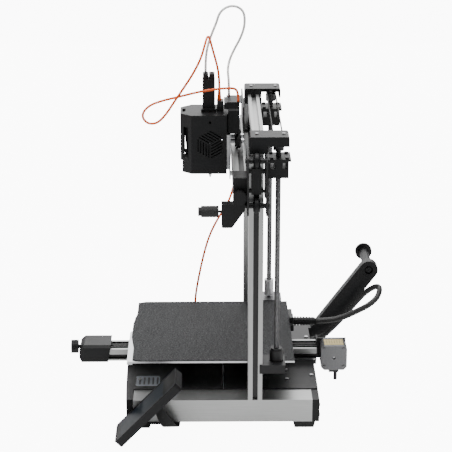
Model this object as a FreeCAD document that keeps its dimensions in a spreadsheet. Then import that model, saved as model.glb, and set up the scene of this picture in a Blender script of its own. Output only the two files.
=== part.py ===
import FreeCAD, Part
import math
import os
import re

import Sketcher

# A moving-bed fused-filament 3D printer, in millimetres. X runs across the machine, Y from front
# to back and Z up. The origin is on the table, under the middle of the machine.

DOC = FreeCAD.newDocument("printer")
DIMS = DOC.addObject("Spreadsheet::Sheet", "dims")

SIZES = {
    "base": {
        "frame_width": 344, "rail_width": 40, "rail_wall": 3, "rail_front": -146.5, "rail_back": 132.5,
        "base_low": 12.4, "base_top": 49.4, "sheet_metal": 1.5, "seam_y": -6, "seam_gap": 1.6,
        "panel_depth": 11.2, "fascia_bow": 4, "fascia_side": 157, "panel_wall": 3,
        "foot_long": 35, "foot_wide": 32, "foot_taper": 2.5, "foot_rear_y": 120.5, "foot_front_y": -136,
    },
    "bed axis": {
        "beam_half": 20, "beam_high": 20, "beam_front": -236, "beam_back": 149, "slot_neck": 8,
        "slot_deep": 2, "slot_cave": 9, "slot_in": 3.4, "belt_wide": 6, "belt_thick": 1.4,
        "belt_channel": 9, "belt_channel_deep": 16, "guide_r": 3, "guide_z": 66, "fit_gap": 0.05,
        "pulley_r": 6.3, "flange_r": 8.2, "motor_side": 42.3, "motor_long": 34, "motor_corner": 4.5,
        "y_motor_y": 175.6, "y_axis_z": 64.5, "y_motor_x": 11, "y_idler_y": -222,
        "tens_half": 25, "tens_front": -240, "tens_back": -188.5, "tens_top": 79.5, "tens_bevel": 8,
        "knob_r": 11, "knob_long": 11.6, "knob_gap": 3.2, "y_knob_z": 68.6,
    },
    "bed": {
        "bed_side": 255, "bed_y": -21, "bed_top": 97.3, "sheet_thick": 1.5, "plate_thick": 3,
        "tab_half": 28, "tab_out": 5, "tab_slope": 46, "corner_x": 6, "corner_y": 12,
        "strip_wide": 8.8, "carriage_top": 79.5, "carriage_half_x": 92, "carriage_half_y": 62,
        "carriage_arm": 26, "block_long": 26, "block_pitch": 90, "post_r": 5, "post_x": 82,
        "clamp_left": -95, "clamp_right": -20, "clamp_deep": 6.5, "cable_x": -42, "cable_z": 95,
        "relief_r": 8, "relief_core": 6.2, "relief_long": 36, "bed_cable_r": 4.7,
    },
    "frame": {
        "post_deep": 22, "post_y": 32.3, "post_wide": 40, "post_top": 446.2, "beam_side": 18,
        "top_beam_y": 38, "top_beam_z": 444, "cap_in": 132, "cap_out": 172, "cap_front": 32.5,
        "cap_back": 92, "cap_step": 60, "cap_low": 446.2, "cap_rear_low": 456.7, "cap_top": 471.6,
        "cap_round": 3.5, "cap_wall": 2.5, "screw_x": 152, "screw_y": 76.5, "screw_r": 4,
        "screw_top": 467.5, "screw_low": 96.2, "sync_low": 459.5, "pulley_low": 447, "pulley_high": 465.5,
        "coupler_r": 8, "coupler_low": 101, "coupler_high": 129, "shaft_r": 2.5, "z_motor_top": 98,
        "bracket_low": 94.6, "bracket_high": 108.5, "collar_r": 10.5, "collar_high": 126.5,
        "bearing_r": 9, "bearing_high": 3.2,
    },
    "gantry": {
        "x_beam_front": 9, "x_beam_back": 29, "x_beam_low": 371.5, "x_beam_high": 411.2,
        "x_beam_left": -196, "x_beam_right": 142, "plate_in": 108, "plate_out": 197, "plate_low": 358,
        "plate_high": 441, "plate_metal": 2.5, "front_plate_y": 29, "rear_plate_y": 57,
        "notch_in": 128, "notch_out": 176, "notch_high": 32, "wheel_r": 11.6, "wheel_wide": 10,
        "wheel_gap": 0.4, "wheel_bore": 2.5, "small_wheel_r": 5.4, "plate_step": 6, "x_motor_x": -218.6,
        "x_belt_y": 12.8, "x_axis_z": 391.3,
        "x_idler_x": 162, "x_tens_out": 180, "x_tens_front": 8.7, "x_tens_low": 369,
        "x_tens_high": 411.6, "x_knob_y": 18.3, "x_knob_z": 384, "x_knob_r": 10.4, "x_knob_long": 12,
        "nut_low": 405, "nut_high": 437.6, "nut_plate": 3.4, "nut_half_x": 21, "nut_front": 59.5,
        "nut_back": 94.5, "nut_window": 13, "arm_in": 138, "arm_out": 157, "roller_x": 146,
        "roller_z": 349, "roller_r": 8.8, "roller_front": -39.2, "roller_back": -12.5,
    },
    "tool head": {
        "hood_half": 36, "hood_front": -71.4, "hood_back": 1.1, "hood_low": 375.2, "hood_high": 469.3,
        "hood_cut_x": 16, "hood_cut_y": 17, "hood_wall": 2.2, "grille_y": -25, "grille_z": 422.3,
        "grille_r": 24, "slat_wide": 1.9, "slat_pitch": 4.1, "window_front": -67, "window_back": -59.5,
        "window_low": 399, "window_high": 449, "split_low": 391, "split_high": 394.4,
        "inlet_front": -36.5, "inlet_back": -17, "inlet_half": 9.8, "inlet_high": 529,
        "inlet_foot": 5.5, "tube_r": 2, "tube_bore": 2.3, "socket_half": 9, "socket_high": 485.5,
        "carriage_front": 5.2, "carriage_back": 7.2, "carriage_half": 27, "carriage_low": 364,
        "carriage_high": 436, "nozzle_y": -25, "nozzle_tip": 359.6, "feed_motor_half": 20.5,
        "feed_motor_x": 8, "feed_motor_z": 458, "feed_motor_back": 21, "fan_r": 17, "fan_hub": 8,
    },
    "fittings": {
        "arm_x_out": -148, "arm_x_in": -132, "arm_end_y": 247, "arm_end_z": 151.8, "arm_end_r": 15.8,
        "arm_foot_back": 166, "spool_r": 8, "spool_end": -233,
        "spool_flange_r": 14.7, "screen_in": 178.5, "screen_out": 241, "screen_long": 134,
        "screen_thick": 13, "screen_tilt": 46, "screen_y": -162.5, "screen_z": 2.5, "glass_margin": 6,
        "inlet_x": 100, "rocker_x": 64, "socket_z": 31, "cable_r": 1.9,
    },
}


def fill_sheet():
    """Writes each driving dimension into the sheet under its own name."""
    row = 1
    for group, sizes in SIZES.items():
        DIMS.set(f"A{row}", group)
        row += 1
        for alias, size in sizes.items():
            DIMS.set(f"A{row}", alias)
            DIMS.set(f"B{row}", str(size))
            DIMS.setAlias(f"B{row}", alias)
            row += 1
    DOC.recompute()


fill_sheet()
NAMES = {alias for sizes in SIZES.values() for alias in sizes}
SUBPARTS = []
TURN = {
    "x": FreeCAD.Rotation(FreeCAD.Vector(0, 1, 0), 90),
    "y": FreeCAD.Rotation(FreeCAD.Vector(1, 0, 0), -90),
    "z": FreeCAD.Rotation(),
}


def ex(text):
    """'bed_side / 2' as a spreadsheet expression, 'dims.bed_side / 2'."""
    return re.sub(r"[a-z_]+", lambda m: "dims." + m[0] if m[0] in NAMES else m[0], str(text))


def value(text):
    """The number that an expression on the sheet's names comes to."""
    return float(sheet_number(ex(text)))


def sheet_number(text):
    found = DIMS.evalExpression(text)
    return getattr(found, "Value", found)


def place(item, x, y, z):
    """Binds where an object stands to three expressions."""
    for letter, text in zip("xyz", (x, y, z)):
        item.setExpression("Placement.Base." + letter, ex(text))
    return item


def box(x, y, z):
    """A block between the (low, high) expressions on each axis."""
    solid = DOC.addObject("Part::Box", "block")
    for side, (low, high) in zip(("Length", "Width", "Height"), (x, y, z)):
        solid.setExpression(side, ex(f"({high}) - ({low})"))
    return place(solid, x[0], y[0], z[0])


def rod(axis, radius, span, u, v):
    """A round bar along axis over span (low, high), at u and v on the other two axes in X, Y, Z order."""
    solid = DOC.addObject("Part::Cylinder", "bar")
    solid.Placement = FreeCAD.Placement(FreeCAD.Vector(), TURN[axis])
    solid.setExpression("Radius", ex(radius))
    solid.setExpression("Height", ex(f"({span[1]}) - ({span[0]})"))
    at = {"x": (span[0], u, v), "y": (u, span[0], v), "z": (u, v, span[0])}[axis]
    return place(solid, *at)


def cone(axis, low_r, high_r, span, u, v):
    """A cone along axis over span, low_r wide at its low end and high_r at its high end."""
    solid = DOC.addObject("Part::Cone", "cone")
    solid.Placement = FreeCAD.Placement(FreeCAD.Vector(), TURN[axis])
    solid.setExpression("Radius1", ex(low_r))
    solid.setExpression("Radius2", ex(high_r))
    solid.setExpression("Height", ex(f"({span[1]}) - ({span[0]})"))
    at = {"x": (span[0], u, v), "y": (u, span[0], v), "z": (u, v, span[0])}[axis]
    return place(solid, *at)


def fuse(*shapes):
    joined = DOC.addObject("Part::MultiFuse", "fuse")
    joined.Shapes = list(shapes)
    return joined


def cut(base, *tools):
    made = DOC.addObject("Part::Cut", "cut")
    made.Base = base
    made.Tool = tools[0] if len(tools) == 1 else fuse(*tools)
    return made


def common(one, other):
    made = DOC.addObject("Part::Common", "common")
    made.Base, made.Tool = one, other
    return made


def group(*shapes):
    """Several separate solids that share one node."""
    made = DOC.addObject("Part::Compound", "group")
    made.Links = list(shapes)
    return made


def mirrored(shape):
    """The same piece on the other side of the machine."""
    made = DOC.addObject("Part::Mirroring", "mirror")
    made.Source = shape
    made.Normal = FreeCAD.Vector(1, 0, 0)
    made.Base = FreeCAD.Vector(0, 0, 0)
    return made


def turned(shape, axis, degrees, x, y, z):
    """shape swung about a line along axis through (x, y, z)."""
    made = DOC.addObject("Part::Compound", "turned")
    made.Links = [shape]
    line = {"x": (1, 0, 0), "y": (0, 1, 0), "z": (0, 0, 1)}[axis]
    spin = FreeCAD.Rotation(FreeCAD.Vector(*line), value(degrees))
    centre = FreeCAD.Vector(value(x), value(y), value(z))
    made.Placement = FreeCAD.Placement(centre - spin.multVec(centre), spin)
    return made


def subpart(label, shape):
    """Names a finished piece. Its label names its file."""
    shape.Label = label
    SUBPARTS.append(shape)
    return shape


def outline(body, plane, corners):
    """A closed sketch of straight lines on one of the body's origin planes, each corner held by two
    dimensions that read the sheet."""
    sketch = body.newObject("Sketcher::SketchObject", "outline")
    origin = [f for f in body.Origin.OriginFeatures if f.Role == plane + "_Plane"][0]
    sketch.AttachmentSupport = [(origin, "")]
    sketch.MapMode = "FlatFace"
    spots = [FreeCAD.Vector(value(u), value(v), 0) for u, v in corners]
    count = len(spots)
    for i in range(count):
        sketch.addGeometry(Part.LineSegment(spots[i], spots[(i + 1) % count]))
    for i in range(count):
        sketch.addConstraint(Sketcher.Constraint("Coincident", i, 2, (i + 1) % count, 1))
    for i, (u, v) in enumerate(corners):
        for kind, text, size in (("DistanceX", u, spots[i].x), ("DistanceY", v, spots[i].y)):
            n = sketch.addConstraint(Sketcher.Constraint(kind, -1, 1, i, 1, size))
            sketch.setExpression(f"Constraints[{n}]", ex(text))
    return sketch


def prism(plane, corners, low, high):
    """A PartDesign body: the outline on plane, padded from low to high across it."""
    body = DOC.addObject("PartDesign::Body", "body")
    pad = body.newObject("PartDesign::Pad", "pad")
    pad.Profile = outline(body, plane, corners)
    pad.setExpression("Length", ex(f"({high}) - ({low})"))
    pad.Reversed = plane == "XZ"
    across = {"XY": "z", "XZ": "y", "YZ": "x"}[plane]
    body.setExpression("Placement.Base." + across, ex(low))
    DOC.recompute()
    return body


def soften(body, feature, size, wanted):
    """A PartDesign fillet or chamfer on the edges of a body whose (middle, direction) wanted says."""
    base = body.Tip
    names = []
    for n, edge in enumerate(base.Shape.Edges, 1):
        ends = [v.Point for v in edge.Vertexes]
        if len(ends) == 2 and wanted((ends[0] + ends[1]) / 2, (ends[1] - ends[0]).normalize()):
            names.append(f"Edge{n}")
    made = body.newObject("PartDesign::" + feature, feature.lower())
    made.Base = (base, names)
    made.setExpression("Radius" if feature == "Fillet" else "Size", ex(size))
    DOC.recompute()
    return body


def ring(axis, outer, inner, span, u, v):
    """A round bar with a hole through it."""
    hole = rod(axis, inner, (f"{span[0]} - 1", f"{span[1]} + 1"), u, v)
    return cut(rod(axis, outer, span, u, v), hole)


def slotted(axis, u, v, w, u_slots, v_slots, v_faces="+-"):
    """An extruded bar along axis with T slots. u and v are its section's (low, high) and w its ends.
    u_slots are places along u for slots in the two v faces, and v_slots the other way round. v_faces
    says which v faces have them: + the low face, - the high one."""
    order = {"x": (2, 0, 1), "y": (0, 2, 1), "z": (0, 1, 2)}[axis]

    def block(a, b, c):
        spans = (a, b, c)
        return box(*[spans[i] for i in order])

    reach = (f"{w[0]} - 1", f"{w[1]} + 1")
    tools = []
    for at in u_slots:
        neck = (f"{at} - slot_neck / 2", f"{at} + slot_neck / 2")
        cave = (f"{at} - slot_cave / 2", f"{at} + slot_cave / 2")
        for face, sign in [side for side in ((v[0], "+"), (v[1], "-")) if side[1] in v_faces]:
            near, deep = f"{face} {sign} slot_deep", f"{face} {sign} (slot_deep + slot_in)"
            tools.append(block(neck, *_span(face, near, sign, reach)))
            tools.append(block(cave, *_span(near, deep, sign, reach)))
    for at in v_slots:
        neck = (f"{at} - slot_neck / 2", f"{at} + slot_neck / 2")
        cave = (f"{at} - slot_cave / 2", f"{at} + slot_cave / 2")
        for face, sign in ((u[0], "+"), (u[1], "-")):
            near, deep = f"{face} {sign} slot_deep", f"{face} {sign} (slot_deep + slot_in)"
            span, ends = _span(face, near, sign, reach)
            tools.append(block(span, neck, ends))
            span, ends = _span(near, deep, sign, reach)
            tools.append(block(span, cave, ends))
    return cut(block(u, v, w), *tools)


def _span(start, end, sign, reach):
    """(low, high) of a slot that goes in from a face, running a hair past the face, and its ends."""
    outer = "- 0.01" if sign == "+" else "+ 0.01"
    inside = (f"{start} {outer}", end) if sign == "+" else (end, f"{start} {outer}")
    return inside, reach


def slots(block, spans):
    """Cuts several boxes out of a block."""
    return cut(block, *[box(*span) for span in spans])


# ---- Base: rails, sheet-metal covers, end caps, feet and the electronics in between ----

def side_rail(left, right):
    outer = box((left, right), ("rail_front", "rail_back"), ("base_low", "base_top"))
    hollow = box((f"{left} + rail_wall", f"{right} - rail_wall"), ("rail_front - 1", "rail_back + 1"),
                 ("base_low + rail_wall", "base_top - rail_wall"))
    return cut(outer, hollow)


RAIL_IN = "(frame_width / 2 - rail_width)"
RAIL_OUT = "(frame_width / 2)"
DECK = "(base_top + sheet_metal)"


def base():
    subpart("rail_right", side_rail(RAIL_IN, RAIL_OUT))
    subpart("rail_left", side_rail("-" + RAIL_OUT, "-" + RAIL_IN))

    deck = box((f"-{RAIL_IN}", RAIL_IN), ("rail_front", "rail_back + panel_depth"), ("base_top", DECK))
    seam = box((f"-{RAIL_IN} - 1", f"{RAIL_IN} + 1"), ("seam_y", "seam_y + seam_gap"),
               (f"{DECK} - sheet_metal / 2", f"{DECK} + 1"))
    subpart("base_cover", cut(deck, seam))

    pan = box((f"-{RAIL_IN}", RAIL_IN), ("rail_front", "rail_back"), ("base_low", "base_low + sheet_metal"))
    vents = [((f"{i} * 14", f"{i} * 14 + 5"), ("-60", "30"), ("base_low - 1", "base_low + 5"))
             for i in range(-7, 7)]
    subpart("base_pan", slots(pan, vents))

    bowed = f"({RAIL_OUT} * {RAIL_OUT} + fascia_bow * fascia_bow) / (2 * fascia_bow)"
    front = box((f"-{RAIL_OUT}", RAIL_OUT), ("-fascia_side - fascia_bow", "rail_front"), ("base_low", DECK))
    round_front = rod("z", bowed, ("base_low - 1", f"{DECK} + 1"), "0",
                      f"{bowed} - fascia_side - fascia_bow")
    hollow = box((f"-{RAIL_OUT} + panel_wall", f"{RAIL_OUT} - panel_wall"),
                 ("-fascia_side + panel_wall", "rail_front + 1"),
                 ("base_low + panel_wall", f"{DECK} - panel_wall"))
    subpart("front_fascia", cut(common(front, round_front), hollow))
    rear_panel()
    feet()
    electronics()


def rear_panel():
    """A shallow black box across the back, with a socket well and the frame the rocker sits in."""
    back = "(rail_back + panel_depth)"
    shell = cut(box((f"-{RAIL_OUT}", RAIL_OUT), ("rail_back", back), ("base_low", "base_top")),
                box((f"-{RAIL_OUT} + panel_wall", f"{RAIL_OUT} - panel_wall"),
                    ("rail_back - 1", f"{back} - panel_wall"),
                    ("base_low + panel_wall", "base_top - panel_wall")))
    bosses = [box((f"{x} - 17", f"{x} + 17"), ("rail_back", back), ("socket_z - 15", "socket_z + 15"))
              for x in ("inlet_x", "rocker_x")]
    well = box(("inlet_x - 13.5", "inlet_x + 13.5"), (f"{back} - 8", f"{back} + 1"),
               ("socket_z - 10", "socket_z + 10"))
    opening = box(("rocker_x - 7", "rocker_x + 7"), ("rail_back - 1", f"{back} + 1"),
                  ("socket_z - 11", "socket_z + 11"))
    pivot = rod("x", "1.25", ("rocker_x - 9", "rocker_x + 9"), f"{back} - 4.5", "socket_z")
    pins = [box((f"inlet_x + {dx} - 1", f"inlet_x + {dx} + 1"), (f"{back} - 9", f"{back} - 2"),
                (f"socket_z + {dz} - 3", f"socket_z + {dz} + 3")) for dx, dz in ((-7, -2), (0, 2), (7, -2))]
    bumps = [cone("y", "4.5", "2.5", (back, f"{back} + 1.8"), x, z) for x in ("160", "-160")
             for z in ("36", "19")]
    whole = fuse(cut(fuse(shell, *bosses), well, opening, pivot), *pins, *bumps)
    subpart("rear_panel", whole)

    corners = [(f"{back} - 4.5 + ({dy})", f"socket_z + {dz}") for dy, dz in
               ((-4, -4), (1.5, -9.5), (5.5, -8.5), (3, 0), (6.5, 7), (3, 9.5), (-4, 4))]
    cap = prism("YZ", corners, "rocker_x - 6.7", "rocker_x + 6.7")
    pin = rod("x", "1.2", ("rocker_x - 8.5", "rocker_x + 8.5"), f"{back} - 4.5", "socket_z")
    subpart("power_rocker", fuse(cap, pin))


def feet():
    made = []
    for x in ("frame_width / 2 - 19", "-frame_width / 2 + 19"):
        for y in ("foot_rear_y", "foot_front_y"):
            corners = [("-foot_long / 2 + foot_taper", "0"), ("foot_long / 2 - foot_taper", "0"),
                       ("foot_long / 2", "base_low - 2.5"), ("foot_long / 2 - 3", "base_low"),
                       ("-foot_long / 2 + 3", "base_low"), ("-foot_long / 2", "base_low - 2.5")]
            pad = prism("YZ", [(f"{u} + {y}", v) for u, v in corners], f"{x} - foot_wide / 2",
                        f"{x} + foot_wide / 2")
            made.append(soften(pad, "Fillet", "foot_taper", lambda m, d: abs(d.x) < 0.5 and m.z < 9))
    subpart("feet", group(*made))


def electronics():
    """The power supply's case and the board, on the bottom pan."""
    pan = "(base_low + sheet_metal)"
    case = cut(box(("-120", "-10"), ("-125", "75"), (pan, f"{pan} + 30")),
               box(("-118.5", "-11.5"), ("-123.5", "73.5"), (f"{pan} + 1.5", f"{pan} + 28.5")))
    supply = slots(case, [(("-100", "-30"), (f"{y}", f"{y + 3}"), (f"{pan} + 20", f"{pan} + 40"))
                          for y in range(-100, 60, 12)])
    board = box(("15", "120"), ("-70", "40"), (f"{pan} + 5", f"{pan} + 6.6"))
    legs = [rod("z", "3", (pan, f"{pan} + 5"), x, y) for x in ("20", "115") for y in ("-65", "35")]
    chips = [box((f"{x}", f"{x} + {w}"), (f"{y}", f"{y} + {d}"), (f"{pan} + 6.6", f"{pan} + 6.6 + {t}"))
             for x, y, w, d, t in ((60, -20, 14, 14, 2), (25, -40, 12, 12, 8), (45, -40, 12, 12, 8),
                                   (65, -50, 12, 12, 8), (95, -60, 20, 80, 10), (25, 10, 40, 20, 6))]
    subpart("electronics", group(supply, fuse(board, *legs, *chips)))


# ---- Bed axis: the beam, its belt, motor and tensioner ----

BEAM_TOP = f"({DECK} + beam_high)"


def belt_loop(axis, one, two, radius, span):
    """A flat belt round two pulleys. one and two are the axle places in the plane across axis."""
    def oval(r):
        ends = [rod(axis, r, span, *spot) for spot in (one, two)]
        (a, b), (c, d) = one, two
        if axis == "x":
            flat = box(span, (a, c), (f"{b} - {r}", f"{d} + {r}"))
        elif axis == "y":
            flat = box((a, c), span, (f"{b} - {r}", f"{d} + {r}"))
        else:
            flat = box((a, c), (f"{b} - {r}", f"{d} + {r}"), span)
        return fuse(flat, *ends)
    return cut(oval(f"({radius} + belt_thick)"), oval(radius))


def pulley(axis, wide, u, v, middle):
    """A flanged belt pulley."""
    drum = rod(axis, "pulley_r - fit_gap", (f"{middle} - {wide} / 2", f"{middle} + {wide} / 2"), u, v)
    rims = [rod(axis, "flange_r", span, u, v) for span in
            ((f"{middle} - {wide} / 2", f"{middle} - belt_wide / 2 - 0.25"),
             (f"{middle} + belt_wide / 2 + 0.25", f"{middle} + {wide} / 2"))]
    return fuse(drum, *rims)


def stepper(axis, sign, face, u, v, long="motor_long", headed=True):
    """A square stepper whose body runs from its mounting face, with a bore for the turning shaft and
    four screws on the far end if headed. sign is the way the body runs from the face."""
    far = f"({face} {sign} {long})"
    near, end = (face, far) if sign == "+" else (far, face)
    half = "motor_side / 2"
    cross = {"x": ((near, end), (f"{u} - {half}", f"{u} + {half}"), (f"{v} - {half}", f"{v} + {half}")),
             "y": ((f"{u} - {half}", f"{u} + {half}"), (near, end), (f"{v} - {half}", f"{v} + {half}")),
             "z": ((f"{u} - {half}", f"{u} + {half}"), (f"{v} - {half}", f"{v} + {half}"),
                   (near, end))}[axis]
    block = box(*cross)
    turn = 1.41421356
    round_r = f"motor_side / 2 * {turn} - motor_corner * 0.8"
    block = common(block, rod(axis, round_r, (near, end), u, v))
    bore = rod(axis, "shaft_r + fit_gap", (f"{near} - 1", f"{end} + 1"), u, v)
    grooves = []
    for part in (0.26, 0.74):
        spot = f"{near} + ({end} - ({near})) * {part}"
        collar = rod(axis, "motor_side", (f"{spot} - 0.3", f"{spot} + 0.3"), u, v)
        core = rod(axis, f"{round_r} - 0.6", (f"{spot} - 0.5", f"{spot} + 0.5"), u, v)
        grooves.append(cut(collar, core))
    shell = cut(block, bore, *grooves)
    if not headed:
        return shell
    heads = []
    step = ("", "+ 1.6") if sign == "+" else ("- 1.6", "")
    for a in ("- 15.5", "+ 15.5"):
        for b in ("- 15.5", "+ 15.5"):
            heads.append(rod(axis, "2.7", (f"{far} {step[0]}", f"{far} {step[1]}"), f"{u} {a}", f"{v} {b}"))
    return fuse(shell, *heads)


def bed_axis():
    beam = slotted("y", ("-beam_half", "beam_half"), (DECK, BEAM_TOP), ("beam_front", "beam_back"),
                   ("-10", "10"), (f"{DECK} + 7.1",), "-")
    channel = box(("-belt_channel / 2", "belt_channel / 2"), ("beam_front - 1", "beam_back + 1"),
                  (f"{BEAM_TOP} - belt_channel_deep", f"{BEAM_TOP} + 1"))
    heel = box(("-14", "14"), ("rail_back + panel_depth + 0.1", "beam_back"), (f"{DECK} - 10", DECK))
    subpart("y_beam", fuse(cut(beam, channel), heel))
    subpart("y_belt", belt_loop("x", ("y_idler_y", "y_axis_z"), ("y_motor_y", "y_axis_z"), "pulley_r",
                                ("-belt_wide / 2", "belt_wide / 2")))
    drive = pulley("x", "8.6", "y_motor_y", "y_axis_z", "0")
    shaft = rod("x", "shaft_r", ("-6", "y_motor_x + motor_long - 4"), "y_motor_y", "y_axis_z")
    subpart("y_pulley", fuse(drive, shaft))
    plug = box(("y_motor_x + motor_long - 13", "y_motor_x + motor_long - 2"),
               ("y_motor_y - 8", "y_motor_y + 8"),
               ("y_axis_z - motor_side / 2 - 4.5", "y_axis_z - motor_side / 2 + 1"))
    boot = rod("z", "3", ("y_axis_z - motor_side / 2 - 19", "y_axis_z - motor_side / 2 - 4"),
               "y_motor_x + motor_long - 7.5", "y_motor_y + 3")
    subpart("y_motor", fuse(stepper("x", "+", "y_motor_x", "y_motor_y", "y_axis_z"), plug, boot))

    side = box(("y_motor_x - 3", "y_motor_x"), ("beam_back", "y_motor_y + motor_side / 2"),
               (DECK, "y_axis_z + motor_side / 2"))
    end = box(("-beam_half", "y_motor_x"), ("beam_back", "beam_back + 3"), (DECK, f"{BEAM_TOP} + 8"))
    window = box(("-belt_channel / 2 - 1", "belt_channel / 2 + 1"), ("beam_back - 1", "beam_back + 4"),
                 (f"{BEAM_TOP} - belt_channel_deep", f"{BEAM_TOP} + 5"))
    eye = rod("x", "11", ("y_motor_x - 4", "y_motor_x + 1"), "y_motor_y", "y_axis_z")
    subpart("y_motor_bracket", cut(fuse(side, end), window, eye))
    tensioner()


def tensioner():
    corners = [("tens_front + 3.5", DECK), ("tens_back - 5", DECK), ("tens_back", "tens_top"),
               ("tens_front + tens_bevel", "tens_top"), ("tens_front", "tens_top - tens_bevel"),
               ("tens_front", f"{DECK} + 7")]
    shell = prism("YZ", corners, "-tens_half", "tens_half")
    soften(shell, "Chamfer", "tens_bevel / 2", lambda m, d: abs(d.y) > 0.9 and m.z > 75)
    seat = box(("-beam_half", "beam_half"), ("beam_front", "tens_back + 1"), (f"{DECK} - 1", BEAM_TOP))
    cavity = box(("-belt_channel / 2 - 2", "belt_channel / 2 + 2"),
                 ("y_idler_y - flange_r - 2", "tens_back + 1"),
                 (f"{BEAM_TOP} - 1", f"{BEAM_TOP} + 6"))
    bore = rod("y", "knob_gap", ("tens_front - 1", "beam_front + 1"), "0", "y_knob_z")
    wheel = pulley("x", "8.6", "y_idler_y", "y_axis_z", "0")
    subpart("y_tensioner", group(cut(shell, seat, cavity, bore), wheel))
    subpart("y_knob", knob("y", "-", "tens_front - knob_gap", "0", "y_knob_z", "knob_r", "knob_long",
                           "beam_front - 0.5"))


def knob(axis, sign, face, u, v, radius, long, tip):
    """A scalloped knob that stands off face, on a threaded stem that ends at tip."""
    far = f"({face} {sign} {long})"
    near, end = (far, face) if sign == "-" else (face, far)
    drum = rod(axis, radius, (near, end), u, v)
    bites = []
    for i in range(12):
        a = 2 * math.pi * i / 12
        bites.append(rod(axis, "1.1", (f"{near} - 1", f"{end} + 1"),
                         f"{u} + ({math.cos(a):.5f}) * ({radius} + 0.4)",
                         f"{v} + ({math.sin(a):.5f}) * ({radius} + 0.4)"))
    low, high = (face, tip) if sign == "-" else (tip, face)
    stem = rod(axis, "knob_gap - fit_gap", (low, high), u, v)
    return fuse(cut(drum, *bites), stem)


# ---- The moving bed ----

def bed():
    half = "bed_side / 2"
    front, back = f"(bed_y - {half})", f"(bed_y + {half})"
    under = "(bed_top - sheet_thick)"
    tab = [("tab_half + tab_slope", front), ("tab_half", f"{front} - tab_out"),
           ("-tab_half", f"{front} - tab_out"), ("-tab_half - tab_slope", front)]
    corners = [(f"-{half} + corner_x", front), (f"-{half}", f"{front} + corner_y"), (f"-{half}", back),
               (half, back), (half, f"{front} + corner_y"), (f"{half} - corner_x", front)]
    subpart("build_sheet", prism("XY", corners + tab, under, "bed_top"))
    plate_low = f"({under} - plate_thick)"
    plate = box((f"-{half}", half), (front, back), (plate_low, under))
    holes = [rod("z", "1.6", (f"{plate_low} - 1", f"{plate_low} + 2"), x, f"bed_y + {y}")
             for x in ("-120", "120") for y in ("-120", "120")]
    subpart("heated_bed", cut(plate, *holes))
    strip = box(("2", half), (f"{front} - strip_wide", front), (f"{plate_low} - 2.4", under))
    groove = box(("1", f"{half} + 1"), (f"{front} - strip_wide - 1", f"{front} - strip_wide + 1.6"),
                 (f"{under} - 1.6", f"{under} + 1"))
    subpart("bed_strip", cut(strip, groove))

    low = "(carriage_top - 3)"
    spine = box(("-34", "34"), ("bed_y - carriage_half_y", "bed_y + carriage_half_y"),
                (low, "carriage_top"))
    arms = [box(("-carriage_half_x", "carriage_half_x"), (f"bed_y + {a}", f"bed_y + {b}"),
                (low, "carriage_top"))
            for a, b in (("(-carriage_half_y)", "(-carriage_half_y + carriage_arm)"),
                         ("(carriage_half_y - carriage_arm)", "carriage_half_y"))]
    posts = [ring("z", "post_r", "2", ("carriage_top", plate_low), x, f"bed_y + ({y})")
             for x in ("-post_x", "post_x") for y in ("-carriage_half_y + 13", "carriage_half_y - 13")]
    subpart("bed_carriage", group(fuse(spine, *arms), *posts))

    blocks = []
    for side in ("-", "+"):
        mid = f"bed_y {side} block_pitch / 2"
        span = (f"{mid} - block_long / 2", f"{mid} + block_long / 2")
        body = box(("-beam_half - 7", "beam_half + 7"), span, (f"{DECK} + 3.5", low))
        gap = box(("-beam_half - fit_gap", "beam_half + fit_gap"), (f"{span[0]} - 1", f"{span[1]} + 1"),
                  (DECK, f"{BEAM_TOP} + fit_gap"))
        way = box(("-belt_channel / 2", "belt_channel / 2"), (f"{span[0]} - 1", f"{span[1]} + 1"),
                  (BEAM_TOP, f"{BEAM_TOP} + 3"))
        ribs = [box((f"{sgn}beam_half {a}", f"{sgn}beam_half {b}"), span,
                    (f"{DECK} + 7.1 - slot_neck / 2 + fit_gap", f"{DECK} + 7.1 + slot_neck / 2 - fit_gap"))
                for sgn, a, b in (("", "- 1.8", "+ 0.5"), ("-", "- 0.5", "+ 1.8"))]
        blocks.append(fuse(cut(body, gap, way), *ribs))
    subpart("bed_bearings", group(*blocks))

    bar = box(("clamp_left", "clamp_right"), (back, f"{back} + clamp_deep"), (f"{plate_low} - 7", under))
    nut = box(("clamp_left + 8", "clamp_right - 20"), (f"{back} - 9", back),
              (f"{plate_low} - 7", plate_low))
    cheek = box(("cable_x - 9.5", "cable_x + 9.5"), (back, f"{back} + clamp_deep"),
                (f"{plate_low} - 7", "cable_z + 9.5"))
    start = f"({back} + clamp_deep)"
    gland = rod("y", "relief_core", (start, f"{start} + relief_long"), "cable_x", "cable_z")
    rings = []
    for i in range(7):
        near = f"{start} + {2 + 4.8 * i:.1f}"
        rings.append(rod("y", f"relief_r - {0.22 * i:.2f}", (near, f"{near} + 2.4"), "cable_x", "cable_z"))
    screw = rod("z", "2.4", (f"{plate_low} - 11", f"{plate_low} - 7"), "clamp_left + 14", f"{back} + 2.5")
    subpart("cable_clamp", fuse(bar, nut, cheek, gland, *rings, screw))


# ---- Gantry frame: uprights, top beam, caps, lift screws and their belt ----

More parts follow.
